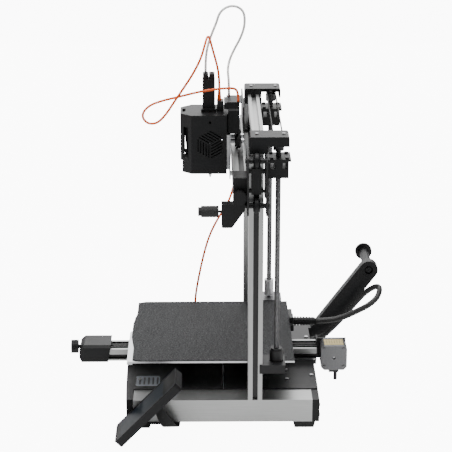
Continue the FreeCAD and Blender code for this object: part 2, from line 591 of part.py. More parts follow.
def frame():
    posts = slotted("z", (RAIL_IN, RAIL_OUT), ("post_y", "post_y + post_deep"), ("base_top", "post_top"),
                    (f"{RAIL_IN} + 20",), ("post_y + post_deep / 2",))
    subpart("upright_right", posts)
    subpart("upright_left", mirrored(posts))
    top = slotted("x", ("top_beam_y", "top_beam_y + beam_side"), ("top_beam_z", "top_beam_z + beam_side"),
                  (f"-{RAIL_IN}", RAIL_IN), ("top_beam_y + beam_side / 2",), ())
    subpart("top_beam", top)
    cap = top_cap()
    subpart("top_caps", group(cap, mirrored(cap)))

    screw = lift_screw()
    coupler = fuse(rod("z", "coupler_r", ("coupler_low", "coupler_high"), "screw_x", "screw_y"),
                   rod("z", "shaft_r", ("z_motor_top - 10", "coupler_low"), "screw_x", "screw_y"))
    grubs = [rod("x", "1.7", ("screw_x", "screw_x + coupler_r + 0.6"), "screw_y", f"coupler_low + {dz}")
             for dz in (7, 21)]
    subpart("screw_right",
            fuse(screw, rod("z", "screw_r", ("screw_low", "collar_high"), "screw_x", "screw_y")))
    subpart("screw_left", mirrored(fuse(lift_screw(), coupler, *grubs)))
    subpart("sync_belt", belt_loop("z", ("-screw_x", "screw_y"), ("screw_x", "screw_y"), "pulley_r",
                                   ("sync_low", "sync_low + belt_wide")))

    motor = stepper("z", "-", "z_motor_top", "-screw_x", "screw_y", f"(z_motor_top - {DECK} - 0.1)",
                    headed=False)
    subpart("z_motor", motor)
    wings = box((RAIL_IN, "frame_width / 2 + 2"), ("post_y + post_deep", "screw_y + 13.2"),
                ("bracket_low", "bracket_high"))
    wing = box(("frame_width / 2", "frame_width / 2 + 2"), ("post_y + 17.5", "post_y + post_deep + 1"),
               ("bracket_low", "bracket_high"))
    collar = rod("z", "collar_r", ("bracket_high", "collar_high"), "screw_x", "screw_y")
    race = rod("z", "bearing_r", ("collar_high", "collar_high + bearing_high"), "screw_x", "screw_y")
    bore = rod("z", "screw_r + fit_gap", ("bracket_low - 1", "collar_high + 9"), "screw_x", "screw_y")
    subpart("z_bracket", cut(fuse(wings, wing, collar, race), bore))


def lift_screw():
    """The threaded rod, drawn plain, with its belt pulley near the top."""
    stem = rod("z", "screw_r", ("coupler_low + 8", "screw_top"), "screw_x", "screw_y")
    middle = "(sync_low + belt_wide / 2)"
    drum = rod("z", "pulley_r - fit_gap", ("pulley_low", "pulley_high + 0.2"), "screw_x", "screw_y")
    rims = [rod("z", "flange_r", span, "screw_x", "screw_y") for span in
            (("pulley_low", f"{middle} - belt_wide / 2 - 0.2"),
             (f"{middle} + belt_wide / 2 + 0.2", "pulley_high + 1.4"))]
    return fuse(stem, drum, *rims)


def top_cap():
    corners = [("cap_front", "cap_low"), ("cap_step", "cap_low"), ("cap_step", "cap_rear_low"),
               ("cap_back", "cap_rear_low"), ("cap_back", "cap_top"), ("cap_front", "cap_top")]
    shell = prism("YZ", corners, "cap_in", "cap_out")
    soften(shell, "Fillet", "cap_round", lambda m, d: abs(d.x) > 0.9 and m.z > 470)
    hollow = box(("cap_in - 1", "cap_out - cap_wall"), ("cap_step + 0.5", "cap_back - cap_wall"),
                 ("cap_rear_low - 1", "cap_top - cap_wall"))
    return cut(shell, hollow)


# ---- Gantry: X beam, end plates, wheels, motor, tensioner, lift nuts and the wiper ----

def wheel(u, v, middle, radius="wheel_r"):
    """A V wheel on the Y axis: a drum with bevelled rims."""
    half, rim = "wheel_wide / 2", f"{radius} * 0.78"
    drum = rod("y", radius, (f"{middle} - 2.4", f"{middle} + 2.4"), u, v)
    rims = [cone("y", rim, radius, (f"{middle} - {half}", f"{middle} - 2.4"), u, v),
            cone("y", radius, rim, (f"{middle} + 2.4", f"{middle} + {half}"), u, v)]
    bore = rod("y", "wheel_bore", (f"{middle} - 9", f"{middle} + 9"), u, v)
    return cut(fuse(drum, *rims), bore)


WHEEL_Y = "(post_y + post_deep / 2)"
LIFT_WHEELS = (("frame_width / 2 + wheel_r + wheel_gap", "439"),
               ("frame_width / 2 + wheel_r + wheel_gap", "370"),
               (f"{RAIL_IN} - wheel_r - wheel_gap", "404"))


def end_plates(outer_front, headed):
    """The two steel plates round an upright, with the wheel axles between them and a web strip
    beside the upright. headed says which axles have a bolt head in front."""
    rear_y = ("rear_plate_y", "rear_plate_y + plate_metal")
    front_y = ("front_plate_y", "front_plate_y + plate_metal")
    corners = [("plate_in", "plate_low + plate_step"), ("notch_in", "plate_low + plate_step"),
               ("notch_in", "plate_low + notch_high"), ("notch_out", "plate_low + notch_high"),
               ("notch_out", "plate_low"), ("plate_out", "plate_low"), ("plate_out", "plate_high"),
               ("plate_in", "plate_high")]
    rear = prism("XZ", corners, *rear_y)
    rear = cut(rear, rod("z", "9.5", ("plate_low", "plate_high + 1"), "screw_x", "screw_y"))
    front = prism("XZ", [("plate_in", "plate_low + plate_step"), ("notch_in + 2", "plate_low + plate_step"),
                         ("notch_in + 2", "plate_low"), (outer_front, "plate_low"),
                         (outer_front, "plate_high + 5"), ("plate_in", "plate_high + 5")], *front_y)
    axles = []
    for i, (u, v) in enumerate(LIFT_WHEELS):
        axles.append(rod("y", "wheel_bore - 0.03", ("front_plate_y", "rear_plate_y + plate_metal"), u, v))
        for span in (("front_plate_y + plate_metal", f"{WHEEL_Y} - wheel_wide / 2 - 0.3"),
                     (f"{WHEEL_Y} + wheel_wide / 2 + 0.3", "rear_plate_y")):
            axles.append(rod("y", "4", span, u, v))
        axles.append(rod("y", "4.2", ("rear_plate_y + plate_metal", "rear_plate_y + plate_metal + 3"),
                         u, v))
        if i in headed:
            axles.append(rod("y", "3.6", ("front_plate_y - 3", "front_plate_y"), u, v))
    beside = ("frame_width / 2 + 1.5", "frame_width / 2 + 5.5")
    web = [box(beside, (f"{WHEEL_Y} - 7.5", f"{WHEEL_Y} + 7.5"), ("385", "425"))]
    web += [box(beside, ("front_plate_y + plate_metal", "rear_plate_y"), span)
            for span in (("388", "392"), ("418", "422"))]
    return fuse(front, rear, *axles, *web)


def gantry():
    low, high = "x_beam_low", "x_beam_high"
    beam = slotted("x", ("x_beam_front", "x_beam_back"), (low, high), ("x_beam_left", "x_beam_right"),
                   ("(x_beam_front + x_beam_back) / 2 + 3",), ())
    channel = box(("x_beam_left - 1", "x_beam_right + 1"), ("x_beam_front - 1", "x_beam_front + 8"),
                  ("x_axis_z - pulley_r - belt_thick - 1.8", "x_axis_z + pulley_r + belt_thick + 1.8"))
    grooves = [box(("x_beam_left - 1", "x_beam_right + 1"), ("x_beam_back - slot_deep", "x_beam_back + 1"),
                   (f"{z} - slot_neck / 2", f"{z} + slot_neck / 2"))
               for z in (f"{low} + 9.5", f"{high} - 9.5")]
    subpart("x_beam", cut(beam, channel, *grooves))

    right = end_plates("plate_out", (0, 1))
    subpart("plates_right", right)
    mount = end_plates("(motor_side / 2 - x_motor_x)", (0,))
    eye = rod("y", "11.2", ("front_plate_y - 1", "front_plate_y + plate_metal + 1"), "-x_motor_x",
              "x_axis_z")
    subpart("plates_left", mirrored(cut(mount, eye)))
    near = [wheel(u, v, WHEEL_Y) for u, v in LIFT_WHEELS]
    subpart("lift_wheels", group(*near, *[mirrored(w) for w in near]))

    face = "(front_plate_y + plate_metal)"
    subpart("x_motor", stepper("y", "+", face, "x_motor_x", "x_axis_z"))
    drive = pulley("y", "8.6", "x_motor_x", "x_axis_z", "x_belt_y")
    shaft = rod("y", "shaft_r", ("x_belt_y - 6", f"{face} + motor_long - 4"), "x_motor_x", "x_axis_z")
    subpart("x_pulley", fuse(drive, shaft))
    subpart("x_belt", belt_loop("y", ("x_motor_x", "x_axis_z"), ("x_idler_x", "x_axis_z"), "pulley_r",
                                ("x_belt_y - belt_wide / 2", "x_belt_y + belt_wide / 2")))

    shell = box(("x_beam_right", "x_tens_out"), ("x_tens_front", "front_plate_y"),
                ("x_tens_low", "x_tens_high"))
    well = box(("x_beam_right - 1", "x_idler_x + flange_r + 2"), ("x_belt_y - 5", "x_belt_y + 5"),
               ("x_axis_z - flange_r - 1.5", "x_axis_z + flange_r + 1.5"))
    bore = rod("x", "knob_gap", ("x_idler_x", "x_tens_out + 1"), "x_knob_y", "x_knob_z")
    idler = pulley("y", "8.6", "x_idler_x", "x_axis_z", "x_belt_y")
    subpart("x_tensioner", group(cut(shell, well, bore), idler))
    subpart("x_knob", knob("x", "+", "x_tens_out + 1", "x_knob_y", "x_knob_z", "x_knob_r", "x_knob_long",
                           "x_tens_out - 6"))
    nuts()
    wiper()


def nuts():
    """The lift nuts in their black carriers, with see-through windows, on both sides."""
    left, right = "screw_x - nut_half_x", "screw_x + nut_half_x"
    block = box((left, right), ("nut_front", "nut_back - 3.5"), ("nut_low + 4", "nut_high - nut_plate"))
    bore = rod("z", "screw_r + 0.4", ("nut_low - 1", "nut_high + 4"), "screw_x", "screw_y")
    middle = "screw_y"
    windows = [box((f"{left} - 1", f"{right} + 1"), (f"{middle} + {a}", f"{middle} + {b}"),
                   ("nut_low + 18", "nut_high - nut_plate - 1.5")) for a, b in ((-12.5, -5.5), (5.5, 11.5))]
    top = box((left, right), ("nut_front", "nut_back"), ("nut_high - nut_plate", "nut_high"))
    nut = rod("z", "8.5", ("nut_low", "nut_low + 4"), "screw_x", "screw_y")
    heads = [rod("z", "2.8", ("nut_high", "nut_high + 2"), f"screw_x + {x}", f"screw_y + {y}")
             for x in (-15, 15) for y in (-11, 12)]
    one = cut(fuse(block, top, nut, *heads), bore, *windows)
    subpart("nut_blocks", group(one, mirrored(one)))


def wiper():
    corners = [("-8.4", "363"), ("-8.4", "326"), ("7.5", "326"), ("27", "354"), ("27", "363")]
    plate = prism("YZ", corners, "arm_in", "arm_out")
    soften(plate, "Fillet", "2.5", lambda m, d: abs(d.x) > 0.9 and m.z < 360)
    riser = box(("arm_in + 5", "arm_out"), ("12", "27"), ("363", "x_tens_low"))
    bore = rod("y", "2.05", ("-9", "0"), "roller_x", "roller_z")
    subpart("wiper_arm", cut(fuse(plate, riser), bore))
    roller = rod("y", "roller_r", ("roller_front", "roller_back"), "roller_x", "roller_z")
    disc = rod("y", "roller_r - 2", ("roller_front - 4.6", "roller_front"), "roller_x", "roller_z")
    neck = rod("y", "2", ("roller_back", "-1"), "roller_x", "roller_z")
    subpart("wiper_roller", fuse(roller, disc, neck))


# ---- Tool head ----

def hood_outline(inset):
    """The hood's plan: square at the back, cut off at its two front corners."""
    wide, cut_x = f"(hood_half - {inset})", "hood_cut_x"
    front, side = f"(hood_front + {inset})", f"(hood_front + hood_cut_y + {inset} * 0.35)"
    return [(wide, "hood_back"), (f"-{wide}", "hood_back"), (f"-{wide}", side),
            (f"-{wide} + {cut_x}", front),
            (f"{wide} - {cut_x}", front), (wide, side)]


def grille():
    """Slots that fill a hexagon standing on a corner. It is cut into three lozenges with five slots
    each, and the slots of a lozenge are drawn once and swung by thirds of a turn."""
    tools = []
    for third in (0, 120, 240):
        for i in range(5):
            step = 0.1 + 0.2 * i
            blade = box(("-hood_half - 2", "hood_half + 2"), ("-grille_r * 0.44", "grille_r * 0.44"),
                        ("-slat_wide / 2", "slat_wide / 2"))
            slanted = turned(blade, "x", "-30", "0", "0", "0")
            place(slanted, "0", f"grille_r * {0.433 - 0.866 * step:.4f}",
                  f"grille_r * {0.75 - 0.5 * step:.4f}")
            swung = turned(slanted, "x", str(third), "0", "0", "0")
            tools.append(place(swung, "0", "grille_y", "grille_z"))
    return tools


def tool_head():
    outer = prism("XY", hood_outline("0"), "hood_low", "hood_high")
    inner = prism("XY", [(x, y if y != "hood_back" else "hood_back + 1")
                         for x, y in hood_outline("hood_wall")],
                  "hood_low - 1", "hood_high - hood_wall")
    chin = cut(prism("XY", hood_outline("2"), "hood_low", "split_low"),
               prism("XY", [(x, y if y != "hood_back" else "hood_back + 1") for x, y in hood_outline("5")],
                     "hood_low - 1", "split_low + 1"))
    chin = common(chin, box(("-hood_half", "hood_half"), ("hood_front", "hood_front + 22"),
                            ("hood_low", "split_low")))
    corner_slots = []
    for side in ("", "-"):
        slot = box(("-5.2", "5.2"), ("-9", "9"), ("window_low", "window_high"))
        slot = turned(slot, "z", side + "45", "0", "0", "0")
        corner_slots.append(place(slot, f"{side}(hood_half - hood_cut_x / 2)",
                                  "hood_front + hood_cut_y / 2", "0"))
    step = box(("-hood_half - 1", "hood_half + 1"), ("hood_front - 1", "hood_front + 2.8"),
               ("hood_low - 1", "split_low"))
    split = box(("-hood_half - 1", "hood_half + 1"), ("hood_front - 1", "hood_front + 6.5"),
                ("split_low", "split_high"))
    lip = box(("-9", "9"), ("hood_front + 3", "hood_front + 8"), ("hood_high - 5", "hood_high + 1"))
    screw_eye = rod("x", "2.2", ("-hood_half - 1", "hood_half + 1"), "grille_y", "hood_high - 11.3")
    socket_way = box(("-8", "8"), ("grille_y - 4", "grille_y + 12"), ("hood_high - 5", "hood_high + 1"))
    tools = [*corner_slots, *grille(), step, split, lip, screw_eye, socket_way]
    subpart("hood", cut(fuse(cut(outer, inner), chin), *tools))

    plate = box(("-carriage_half", "carriage_half"), ("carriage_front", "carriage_back"),
                ("carriage_low", "carriage_high"))
    mids = (("15", "x_beam_high + wheel_r + wheel_gap", "wheel_r"),
            ("-15", "x_beam_high + wheel_r + wheel_gap", "wheel_r"),
            ("0", "x_beam_low - small_wheel_r - wheel_gap", "small_wheel_r"))
    middle = "(x_beam_front + x_beam_back) / 2"
    axles = []
    for u, v, _ in mids:
        axles.append(rod("y", "wheel_bore - 0.03", ("carriage_back", f"{middle} + wheel_wide / 2 + 3"), u,
                         v))
        axles.append(rod("y", "4", ("carriage_back", f"{middle} - wheel_wide / 2"), u, v))
        axles.append(rod("y", "4", (f"{middle} + wheel_wide / 2", f"{middle} + wheel_wide / 2 + 4"), u, v))
    subpart("head_plate", fuse(plate, *axles))
    subpart("head_wheels", group(*[wheel(u, v, middle, r) for u, v, r in mids]))

    mount = box(("-hood_half + hood_wall", "hood_half - hood_wall"), ("-4", "carriage_front"),
                ("382", "437.4"))
    arm = box(("-11", "11"), ("nozzle_y - 11", "-3"), ("427", "438"))
    fins = [box(("-11", "11"), ("nozzle_y - 11", "nozzle_y + 11"),
                (f"{z}", f"{z} + 1.6")) for z in range(399, 427, 4)]
    core = rod("z", "4.5", ("375", "430"), "0", "nozzle_y")
    block = box(("-9", "9"), ("nozzle_y - 8", "nozzle_y + 12"), ("370", "383"))
    tip = cone("z", "1.1", "4.5", ("nozzle_tip", "370"), "0", "nozzle_y")
    fan_axle = rod("x", "2.5", ("10", "24"), "grille_y", "grille_z")
    subpart("hotend", fuse(mount, arm, core, block, tip, fan_axle, *fins))

    hub = ring("x", "fan_hub", "2.55", ("22", "31"), "grille_y", "grille_z")
    hoop = ring("x", "fan_r", "fan_r - 1.2", ("24", "31"), "grille_y", "grille_z")
    blades = []
    for i in range(7):
        blade = box(("24.4", "30.6"), ("grille_y + fan_hub - 1.5", "grille_y + fan_r - 0.6"),
                    ("grille_z - 0.7", "grille_z + 0.7"))
        blades.append(turned(blade, "x", str(i * 360 / 7), "0", "grille_y", "grille_z"))
    subpart("head_fan", fuse(hub, hoop, *blades))
    feeder()


def feeder():
    """The filament drive behind and above the carriage, the inlet tower and the data plug."""
    motor = box(("feed_motor_x - feed_motor_half", "feed_motor_x + feed_motor_half"),
                ("3.6", "feed_motor_back"),
                ("feed_motor_z - feed_motor_half", "feed_motor_z + feed_motor_half"))
    motor = common(motor, rod("y", "feed_motor_half * 1.3", ("3", "feed_motor_back + 1"), "feed_motor_x",
                              "feed_motor_z"))
    case = box(("-17", "17"), ("nozzle_y - 10", "3.6"), ("438", "hood_high - hood_wall"))
    bridge = box(("-14", "26"), ("-3", "21"), ("feed_motor_z + 19", "feed_motor_z + 29"))
    board = box(("-19", "27"), ("1", "24"), ("feed_motor_z + 29", "feed_motor_z + 30.6"))
    case = cut(case, rod("z", "2.2", ("437", "hood_high + 1"), "0", "nozzle_y"))
    subpart("feeder", fuse(case, motor, bridge, board))

    base = box(("-inlet_half - inlet_foot", "inlet_half + inlet_foot"),
               ("inlet_front - 2", "inlet_back + 2"),
               ("hood_high", "hood_high + 5"))
    tower = box(("-inlet_half", "inlet_half"), ("inlet_front", "inlet_back"),
                ("hood_high + 5", "inlet_high - 8"))
    tubes = [(x, y) for x in ("-4.8", "4.8") for y in ("inlet_front + 4.9", "inlet_back - 4.9")]
    collars = [rod("z", "4.4", ("inlet_high - 8", "inlet_high"), x, y) for x, y in tubes]
    bores = [rod("z", "tube_bore", ("inlet_high - 22", "inlet_high + 1"), x, y) for x, y in tubes]
    subpart("inlet_block", cut(fuse(base, tower, *collars), *bores))

    socket = box(("-socket_half", "socket_half"), ("-14", "-3.6"), ("hood_high", "socket_high"))
    plug = cone("z", "3.4", "2.2", ("socket_high", "socket_high + 16"), "0", "-10.2")
    subpart("cable_plug", fuse(socket, plug))


# ---- Spool holder, screen, screws ----

def fittings():
    back = "(rail_back + panel_depth)"
    foot = box(("arm_x_out", "arm_x_in"), (back, "arm_foot_back"), ("base_low + 2", "base_top - 4"))
    start_y, start_z = value(f"{back} + 14"), value("base_low + 18")
    end_y, end_z = value("arm_end_y"), value("arm_end_z")
    tilt = math.degrees(math.atan2(end_z - start_z, end_y - start_y))
    long = math.hypot(end_y - start_y, end_z - start_z)
    bar = box(("arm_x_out", "arm_x_in"), ("arm_end_y - " + f"{long:.2f}", "arm_end_y"),
              ("arm_end_z - arm_end_r", "arm_end_z + arm_end_r"))
    bar = turned(bar, "x", f"{tilt:.4f}", "0", "arm_end_y", "arm_end_z")
    clip = box(("arm_x_out - 1", "arm_x_in + 1"), (back, "arm_end_y + 60"), ("base_low", "arm_end_z + 60"))
    disc = rod("x", "arm_end_r", ("arm_x_out", "arm_x_in"), "arm_end_y", "arm_end_z")
    dimple = rod("x", "7.5", ("arm_x_in - 5", "arm_x_in + 1"), "arm_end_y", "arm_end_z")
    bolt = rod("x", "4.6", ("arm_x_in - 5.5", "arm_x_in - 1.5"), "arm_end_y", "arm_end_z")
    subpart("spool_arm", fuse(cut(fuse(foot, common(bar, clip), disc), dimple), bolt))
    stem = rod("x", "spool_r", ("spool_end + 5", "arm_x_out"), "arm_end_y", "arm_end_z")
    disc = rod("x", "spool_flange_r", ("spool_end", "spool_end + 5"), "arm_end_y", "arm_end_z")
    subpart("spool_rod", fuse(stem, disc))

    face = "(screen_z + screen_thick)"
    case = prism("XY", [("screen_in", "screen_y"), ("screen_out", "screen_y"),
                        ("screen_out", "screen_y + screen_long"), ("screen_in", "screen_y + screen_long")],
                 "screen_z", face)
    soften(case, "Fillet", "4.5", lambda m, d: abs(d.z) > 0.9)
    inset = box(("screen_in + glass_margin / 2", "screen_out - glass_margin / 2"),
                ("screen_y + glass_margin / 2", "screen_y + screen_long - glass_margin / 2"),
                (f"{face} - 1.2", f"{face} + 1"))
    glass = box(("screen_in + glass_margin / 2 + 0.1", "screen_out - glass_margin / 2 - 0.1"),
                ("screen_y + glass_margin / 2 + 0.1", "screen_y + screen_long - glass_margin / 2 - 0.1"),
                (f"{face} - 1.2", f"{face} - 0.2"))
    tip = ("x", "screen_tilt", "0", "screen_y", "screen_z")
    stem = prism("YZ", [("-152", "base_low - 2"), ("-128", "base_low - 2"), ("-128", "44"), ("-152", "20")],
                 RAIL_OUT, "screen_in + 8")
    hook = box((f"{RAIL_OUT} - 2", f"{RAIL_OUT} + 4"), ("-129", "-79"), ("base_low - 2", "base_low"))
    subpart("screen_case", fuse(turned(cut(case, inset), *tip), stem, hook))
    subpart("screen_glass", turned(glass, *tip))

    heads = [rod("z", "3", (DECK, f"{DECK} + 1.6"), x, y) for x, y in
             (("96.6", "96.6"), ("81.4", "136.7"), ("-77.6", "137.5"), ("-96.6", "96.6"), ("96.6", "-138"),
              ("-96.6", "-138"), ("60", "96.6"), ("-60", "96.6"))]
    heads += [rod("z", "2.6", ("cap_top", "cap_top + 1.2"), x, y) for x in ("screw_x",
                                                                            "-screw_x") for y in ("44",
                                                                                                  "84")]
    subpart("frame_screws", group(*heads))


# ---- Cords: straight runs joined by tangent arcs ----

def cord(label, points, radius):
    """A round cord through hand-chosen points: straight runs with a tangent arc at each turn."""
    spots = [FreeCAD.Vector(*p) for p in points]
    runs = [(b - a).Length for a, b in zip(spots, spots[1:])]
    edges, here, radii = [], spots[0], []
    for i in range(1, len(spots) - 1):
        back, on = (spots[i - 1] - spots[i]).normalize(), (spots[i + 1] - spots[i]).normalize()
        turn = math.pi - back.getAngle(on)
        reach = 0.45 * min(runs[i - 1], runs[i])
        bend = reach / math.tan(turn / 2)
        radii.append(bend)
        start, end = spots[i] + back * reach, spots[i] + on * reach
        inward = (back + on).normalize()
        middle = spots[i] + inward * (bend / math.cos(turn / 2) - bend)
        edges.append(Part.makeLine(here, start))
        edges.append(Part.Arc(start, middle, end).toShape())
        here = end
    edges.append(Part.makeLine(here, spots[-1]))
    path = Part.Wire(edges)
    profile = Part.Wire(Part.makeCircle(radius, spots[0], spots[1] - spots[0]))
    tube = path.makePipeShell([profile], True, False, 2)
    made = DOC.addObject("Part::Feature", "cord")
    made.Shape = tube
    section = math.pi * radius ** 2
    print(f"{label}: length {path.Length:.0f}, tightest bend {min(radii):.1f}, "
          f"volume {tube.Volume / (section * path.Length):.3f} of section x length")
    return subpart(label, made)


BED_CABLE = [(-42, 149.1, 95), (-42, 172, 95), (-42, 197, 101), (-43, 219, 111.5), (-42.5, 238.5, 122),
             (-52.5, 253.5, 131), (-67.5, 259.5, 138.5), (-86.5, 260.5, 139), (-103, 254, 132.5),
             (-113, 240.5, 119.5), (-114, 224, 100), (-114, 205.5, 76), (-114, 186, 54), (-114, 166, 34),
             (-114, 144.45, 31)]
HEAD_CABLE = [(0, -10.2, 501.55), (0, -10.2, 524), (1, -15, 547), (3, -21, 568), (9, -25, 586),
              (23, -28.5, 592), (36, -32, 583), (41, -38, 562), (41, -50, 538), (41, -65, 515),
              (41, -80, 493), (40, -94, 471), (38, -108, 457), (37, -123.5, 457.5), (37, -131.5, 471),
              (37, -120, 486), (37, -98, 494), (37, -72, 500), (37, -45, 507), (37, -18, 511.5),
              (35, 2, 513), (29, 14.5, 511), (24, 19, 502), (24, 19, 488.65)]
FEED_TUBE = [(-4.8, -31.6, 529.05), (-4.8, -31.6, 552), (-5, -27.5, 574), (-5, -20, 594),
             (-5.3, -14, 608.5),
             (-6, -10.6, 620.4), (-8, -2.4, 629), (-11, 8.7, 632.3), (-15, 19.6, 629.6), (-20, 27.4, 621.8),
             (-25.2, 30, 609.8), (-31, 29, 593), (-37, 23, 575), (-41, 14, 558), (-38, 6, 541),
             (-26, 3, 527),
             (-12, 5, 512.5), (-12, 5, 488.65)]
SIDE_CABLE = [(-140, 19, 371.5), (-140, 19, 338), (-139, 16, 305), (-138, 6, 272), (-137, -12, 245),
              (-136, -27, 214),
              (-135, -37, 178), (-135, -45, 140), (-135, -51, 104), (-135, -52, 75), (-135, -52, 49.4)]


def cords():
    cord("bed_cable", BED_CABLE, value("bed_cable_r"))
    cord("head_cable", HEAD_CABLE, value("cable_r"))
    cord("feed_tube", FEED_TUBE, value("tube_r"))
    cord("side_cable", SIDE_CABLE, value("cable_r"))


def export():
    """Checks every object after the recompute, then writes one STEP file for each piece."""
    DOC.recompute()
    for item in DOC.Objects:
        bad = [state for state in item.State if state in ("Invalid", "Error")]
        if bad or (hasattr(item, "Shape") and (item.Shape.isNull() or not item.Shape.isValid())):
            print("problem:", item.Name, item.Label, item.State)
    os.makedirs("parts", exist_ok=True)
    for piece in SUBPARTS:
        piece.Shape.exportStep(f"parts/{piece.Label}.step")
    print(len(SUBPARTS), "pieces")


base()
bed_axis()
bed()
frame()
gantry()
tool_head()
fittings()
cords()
export()
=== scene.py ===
# %% [markdown]
# A desktop filament printer, finished in Blender.
#
# The exact shapes arrive as a frame of separate metal and plastic pieces, already in place and in
# metres. This lesson gives each of them a real surface, adds the soft and small things that a CAD
# model leaves out (cables, a ribbon, labels, threads, duct walls behind a grille), and lights
# the lot on a pale floor.

# %% Load the frame
import math
import bmesh
import bpy
import mathutils
import numpy as np
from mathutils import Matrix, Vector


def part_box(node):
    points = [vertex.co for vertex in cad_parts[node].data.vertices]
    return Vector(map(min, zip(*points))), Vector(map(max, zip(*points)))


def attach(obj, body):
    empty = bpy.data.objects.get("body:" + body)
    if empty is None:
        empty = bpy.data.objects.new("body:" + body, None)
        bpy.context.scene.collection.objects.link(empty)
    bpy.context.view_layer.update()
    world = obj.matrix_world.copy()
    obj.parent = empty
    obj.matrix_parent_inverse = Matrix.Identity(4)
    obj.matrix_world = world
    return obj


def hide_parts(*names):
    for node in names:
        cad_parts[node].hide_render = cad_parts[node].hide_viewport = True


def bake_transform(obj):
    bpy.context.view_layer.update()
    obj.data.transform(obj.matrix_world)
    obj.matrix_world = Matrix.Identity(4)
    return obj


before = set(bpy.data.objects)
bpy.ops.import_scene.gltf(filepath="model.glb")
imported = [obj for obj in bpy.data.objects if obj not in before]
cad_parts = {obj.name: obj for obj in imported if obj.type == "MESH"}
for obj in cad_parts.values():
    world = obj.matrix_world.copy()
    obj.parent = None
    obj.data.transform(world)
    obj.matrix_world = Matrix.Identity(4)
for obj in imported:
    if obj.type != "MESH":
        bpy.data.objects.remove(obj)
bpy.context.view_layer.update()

# %% [markdown]
# ## A small language for shaders
#
# Every finish below is a graph of nodes. Wiring nodes by hand is slow to read, so one small class
# wraps a socket and lets Python's own operators add the Math nodes: `1 - mask * 0.3` is two nodes.
# Anything that isn't arithmetic comes from one method, `node`, which sets a node's settings first and
# its sockets second.

# %% The socket class
class Sock:
    """A shader socket that can be added, multiplied and raised like a number."""

    def __init__(self, tree, socket):
        self.tree, self.socket = tree, socket

    def node(self, kind, settings=None, out=0, **inputs):
        """Adds a node of this kind. Inputs are given by socket name, or i0, i1... by place."""
        made = self.tree.nodes.new(kind)
        for name, setting in (settings or {}).items():
            setattr(made, name, setting)
        for name, given in inputs.items():
            numbered = name[0] == "i" and name[1:].isdigit()
            self.feed(made.inputs[int(name[1:]) if numbered else name.replace("_", " ")], given)
        return Sock(self.tree, made.outputs[out])

    def feed(self, socket, given):
        """Links a wrapped socket, or sets a plain number or colour."""
        if isinstance(given, Sock):
            self.tree.links.new(given.socket, socket)
        elif isinstance(given, tuple) and socket.type == "RGBA":
            socket.default_value = (*given, 1.0)
        else:
            socket.default_value = given

    def math(self, operation, *terms):
        """A Math node over these terms, which are sockets or numbers."""
        inputs = {f"i{n}": term for n, term in enumerate(terms)}
        return self.node("ShaderNodeMath", {"operation": operation}, **inputs)

    def __add__(self, other): return self.math("ADD", self, other)
    def __sub__(self, other): return self.math("SUBTRACT", self, other)
    def __mul__(self, other): return self.math("MULTIPLY", self, other)
    def __truediv__(self, other): return self.math("DIVIDE", self, other)
    def __pow__(self, other): return self.math("POWER", self, other)
    def __radd__(self, other): return self.math("ADD", other, self)
    def __rsub__(self, other): return self.math("SUBTRACT", other, self)

    def sine(self):
        return self.math("SINE", self)

    def least(self, other):
        return self.math("MINIMUM", self, other)

    def angle(self, across):
        """The direction of the point whose height is this value and whose reach is across."""
        return self.math("ARCTAN2", self, across)

    def rise(self, low, high):
        """0 below low, 1 above high, smooth in between."""
        ease = {"interpolation_type": "SMOOTHSTEP"}
        return self.node("ShaderNodeMapRange", ease, i0=self, i1=low, i2=high)

    def between(self, low, high, soft):
        """1 where this value lies between low and high, with soft edges."""
        return self.rise(low - soft, low + soft) * (1 - self.rise(high - soft, high + soft))

    def mix(self, low, high):
        """A colour between low and high, by this mask."""
        blend = {"data_type": "RGBA", "clamp_factor": True}
        return self.node("ShaderNodeMix", blend, out=2, i0=self, i6=low, i7=high)


class Place(Sock):
    """Where on the piece a point is, in metres, with the patterns that read it."""

    def axes(self):
        made = self.tree.nodes.new("ShaderNodeSeparateXYZ")
        self.tree.links.new(self.socket, made.inputs[0])
        return [Sock(self.tree, out) for out in made.outputs]

    def stretched(self, x, y, z):
        """The same place with each axis scaled, which makes a pattern finer or coarser along it."""
        made = self.node("ShaderNodeMapping", i0=self, i3=(x, y, z))
        return Place(self.tree, made.socket)

    def noise(self, scale, detail=2.0, rough=0.5):
        return self.node("ShaderNodeTexNoise", i0=self, Scale=scale, Detail=detail, Roughness=rough)

    def cells(self, scale, feature="F1", out=0):
        return self.node("ShaderNodeTexVoronoi", {"feature": feature}, out=out, i0=self, Scale=scale)


print("socket operators:", [name for name in vars(Sock) if name.startswith("__") and name != "__init__"][:7])

# %% [markdown]
# ## One recipe for every material
#
# A material starts with its place socket and hands its Principled shader plain numbers for what is the
# same all over, and node values only for what changes over the surface. `bump` turns a height into a
# normal: distance is in metres, so a hair-fine texture is honestly a few hundredths of a millimetre.

# %% The material recipe
MATERIALS = {}


def material(name, paint):
    """Makes a material. paint(place) returns the Principled inputs by name."""
    made = bpy.data.materials.new(name)
    made.use_nodes = True
    tree = made.node_tree
    place = Place(tree, tree.nodes.new("ShaderNodeTexCoord").outputs["Object"])
    for socket, given in paint(place).items():
        place.feed(tree.nodes["Principled BSDF"].inputs[socket], given)
    MATERIALS[name] = made
    return made


def bump(height, distance, strength=1.0):
    return height.node("ShaderNodeBump", Strength=strength, Distance=distance, Height=height)


def painted_edge_highlight(place):
    """1 along each outer edge, for a painted highlight: where the normal rounded over 0.8 mm leaves the flat
    one.
    """
    rounded = place.node("ShaderNodeBevel", {"samples": 4}, Radius=0.0008)
    flat = Sock(place.tree, place.tree.nodes.new("ShaderNodeNewGeometry").outputs["Normal"])
    turn = place.node("ShaderNodeVectorMath", {"operation": "DOT_PRODUCT"}, out=1, i0=rounded, i1=flat)
    return ((1 - turn) * 8.0).rise(0.02, 1.0)


print("recipe ready:", material.__doc__)

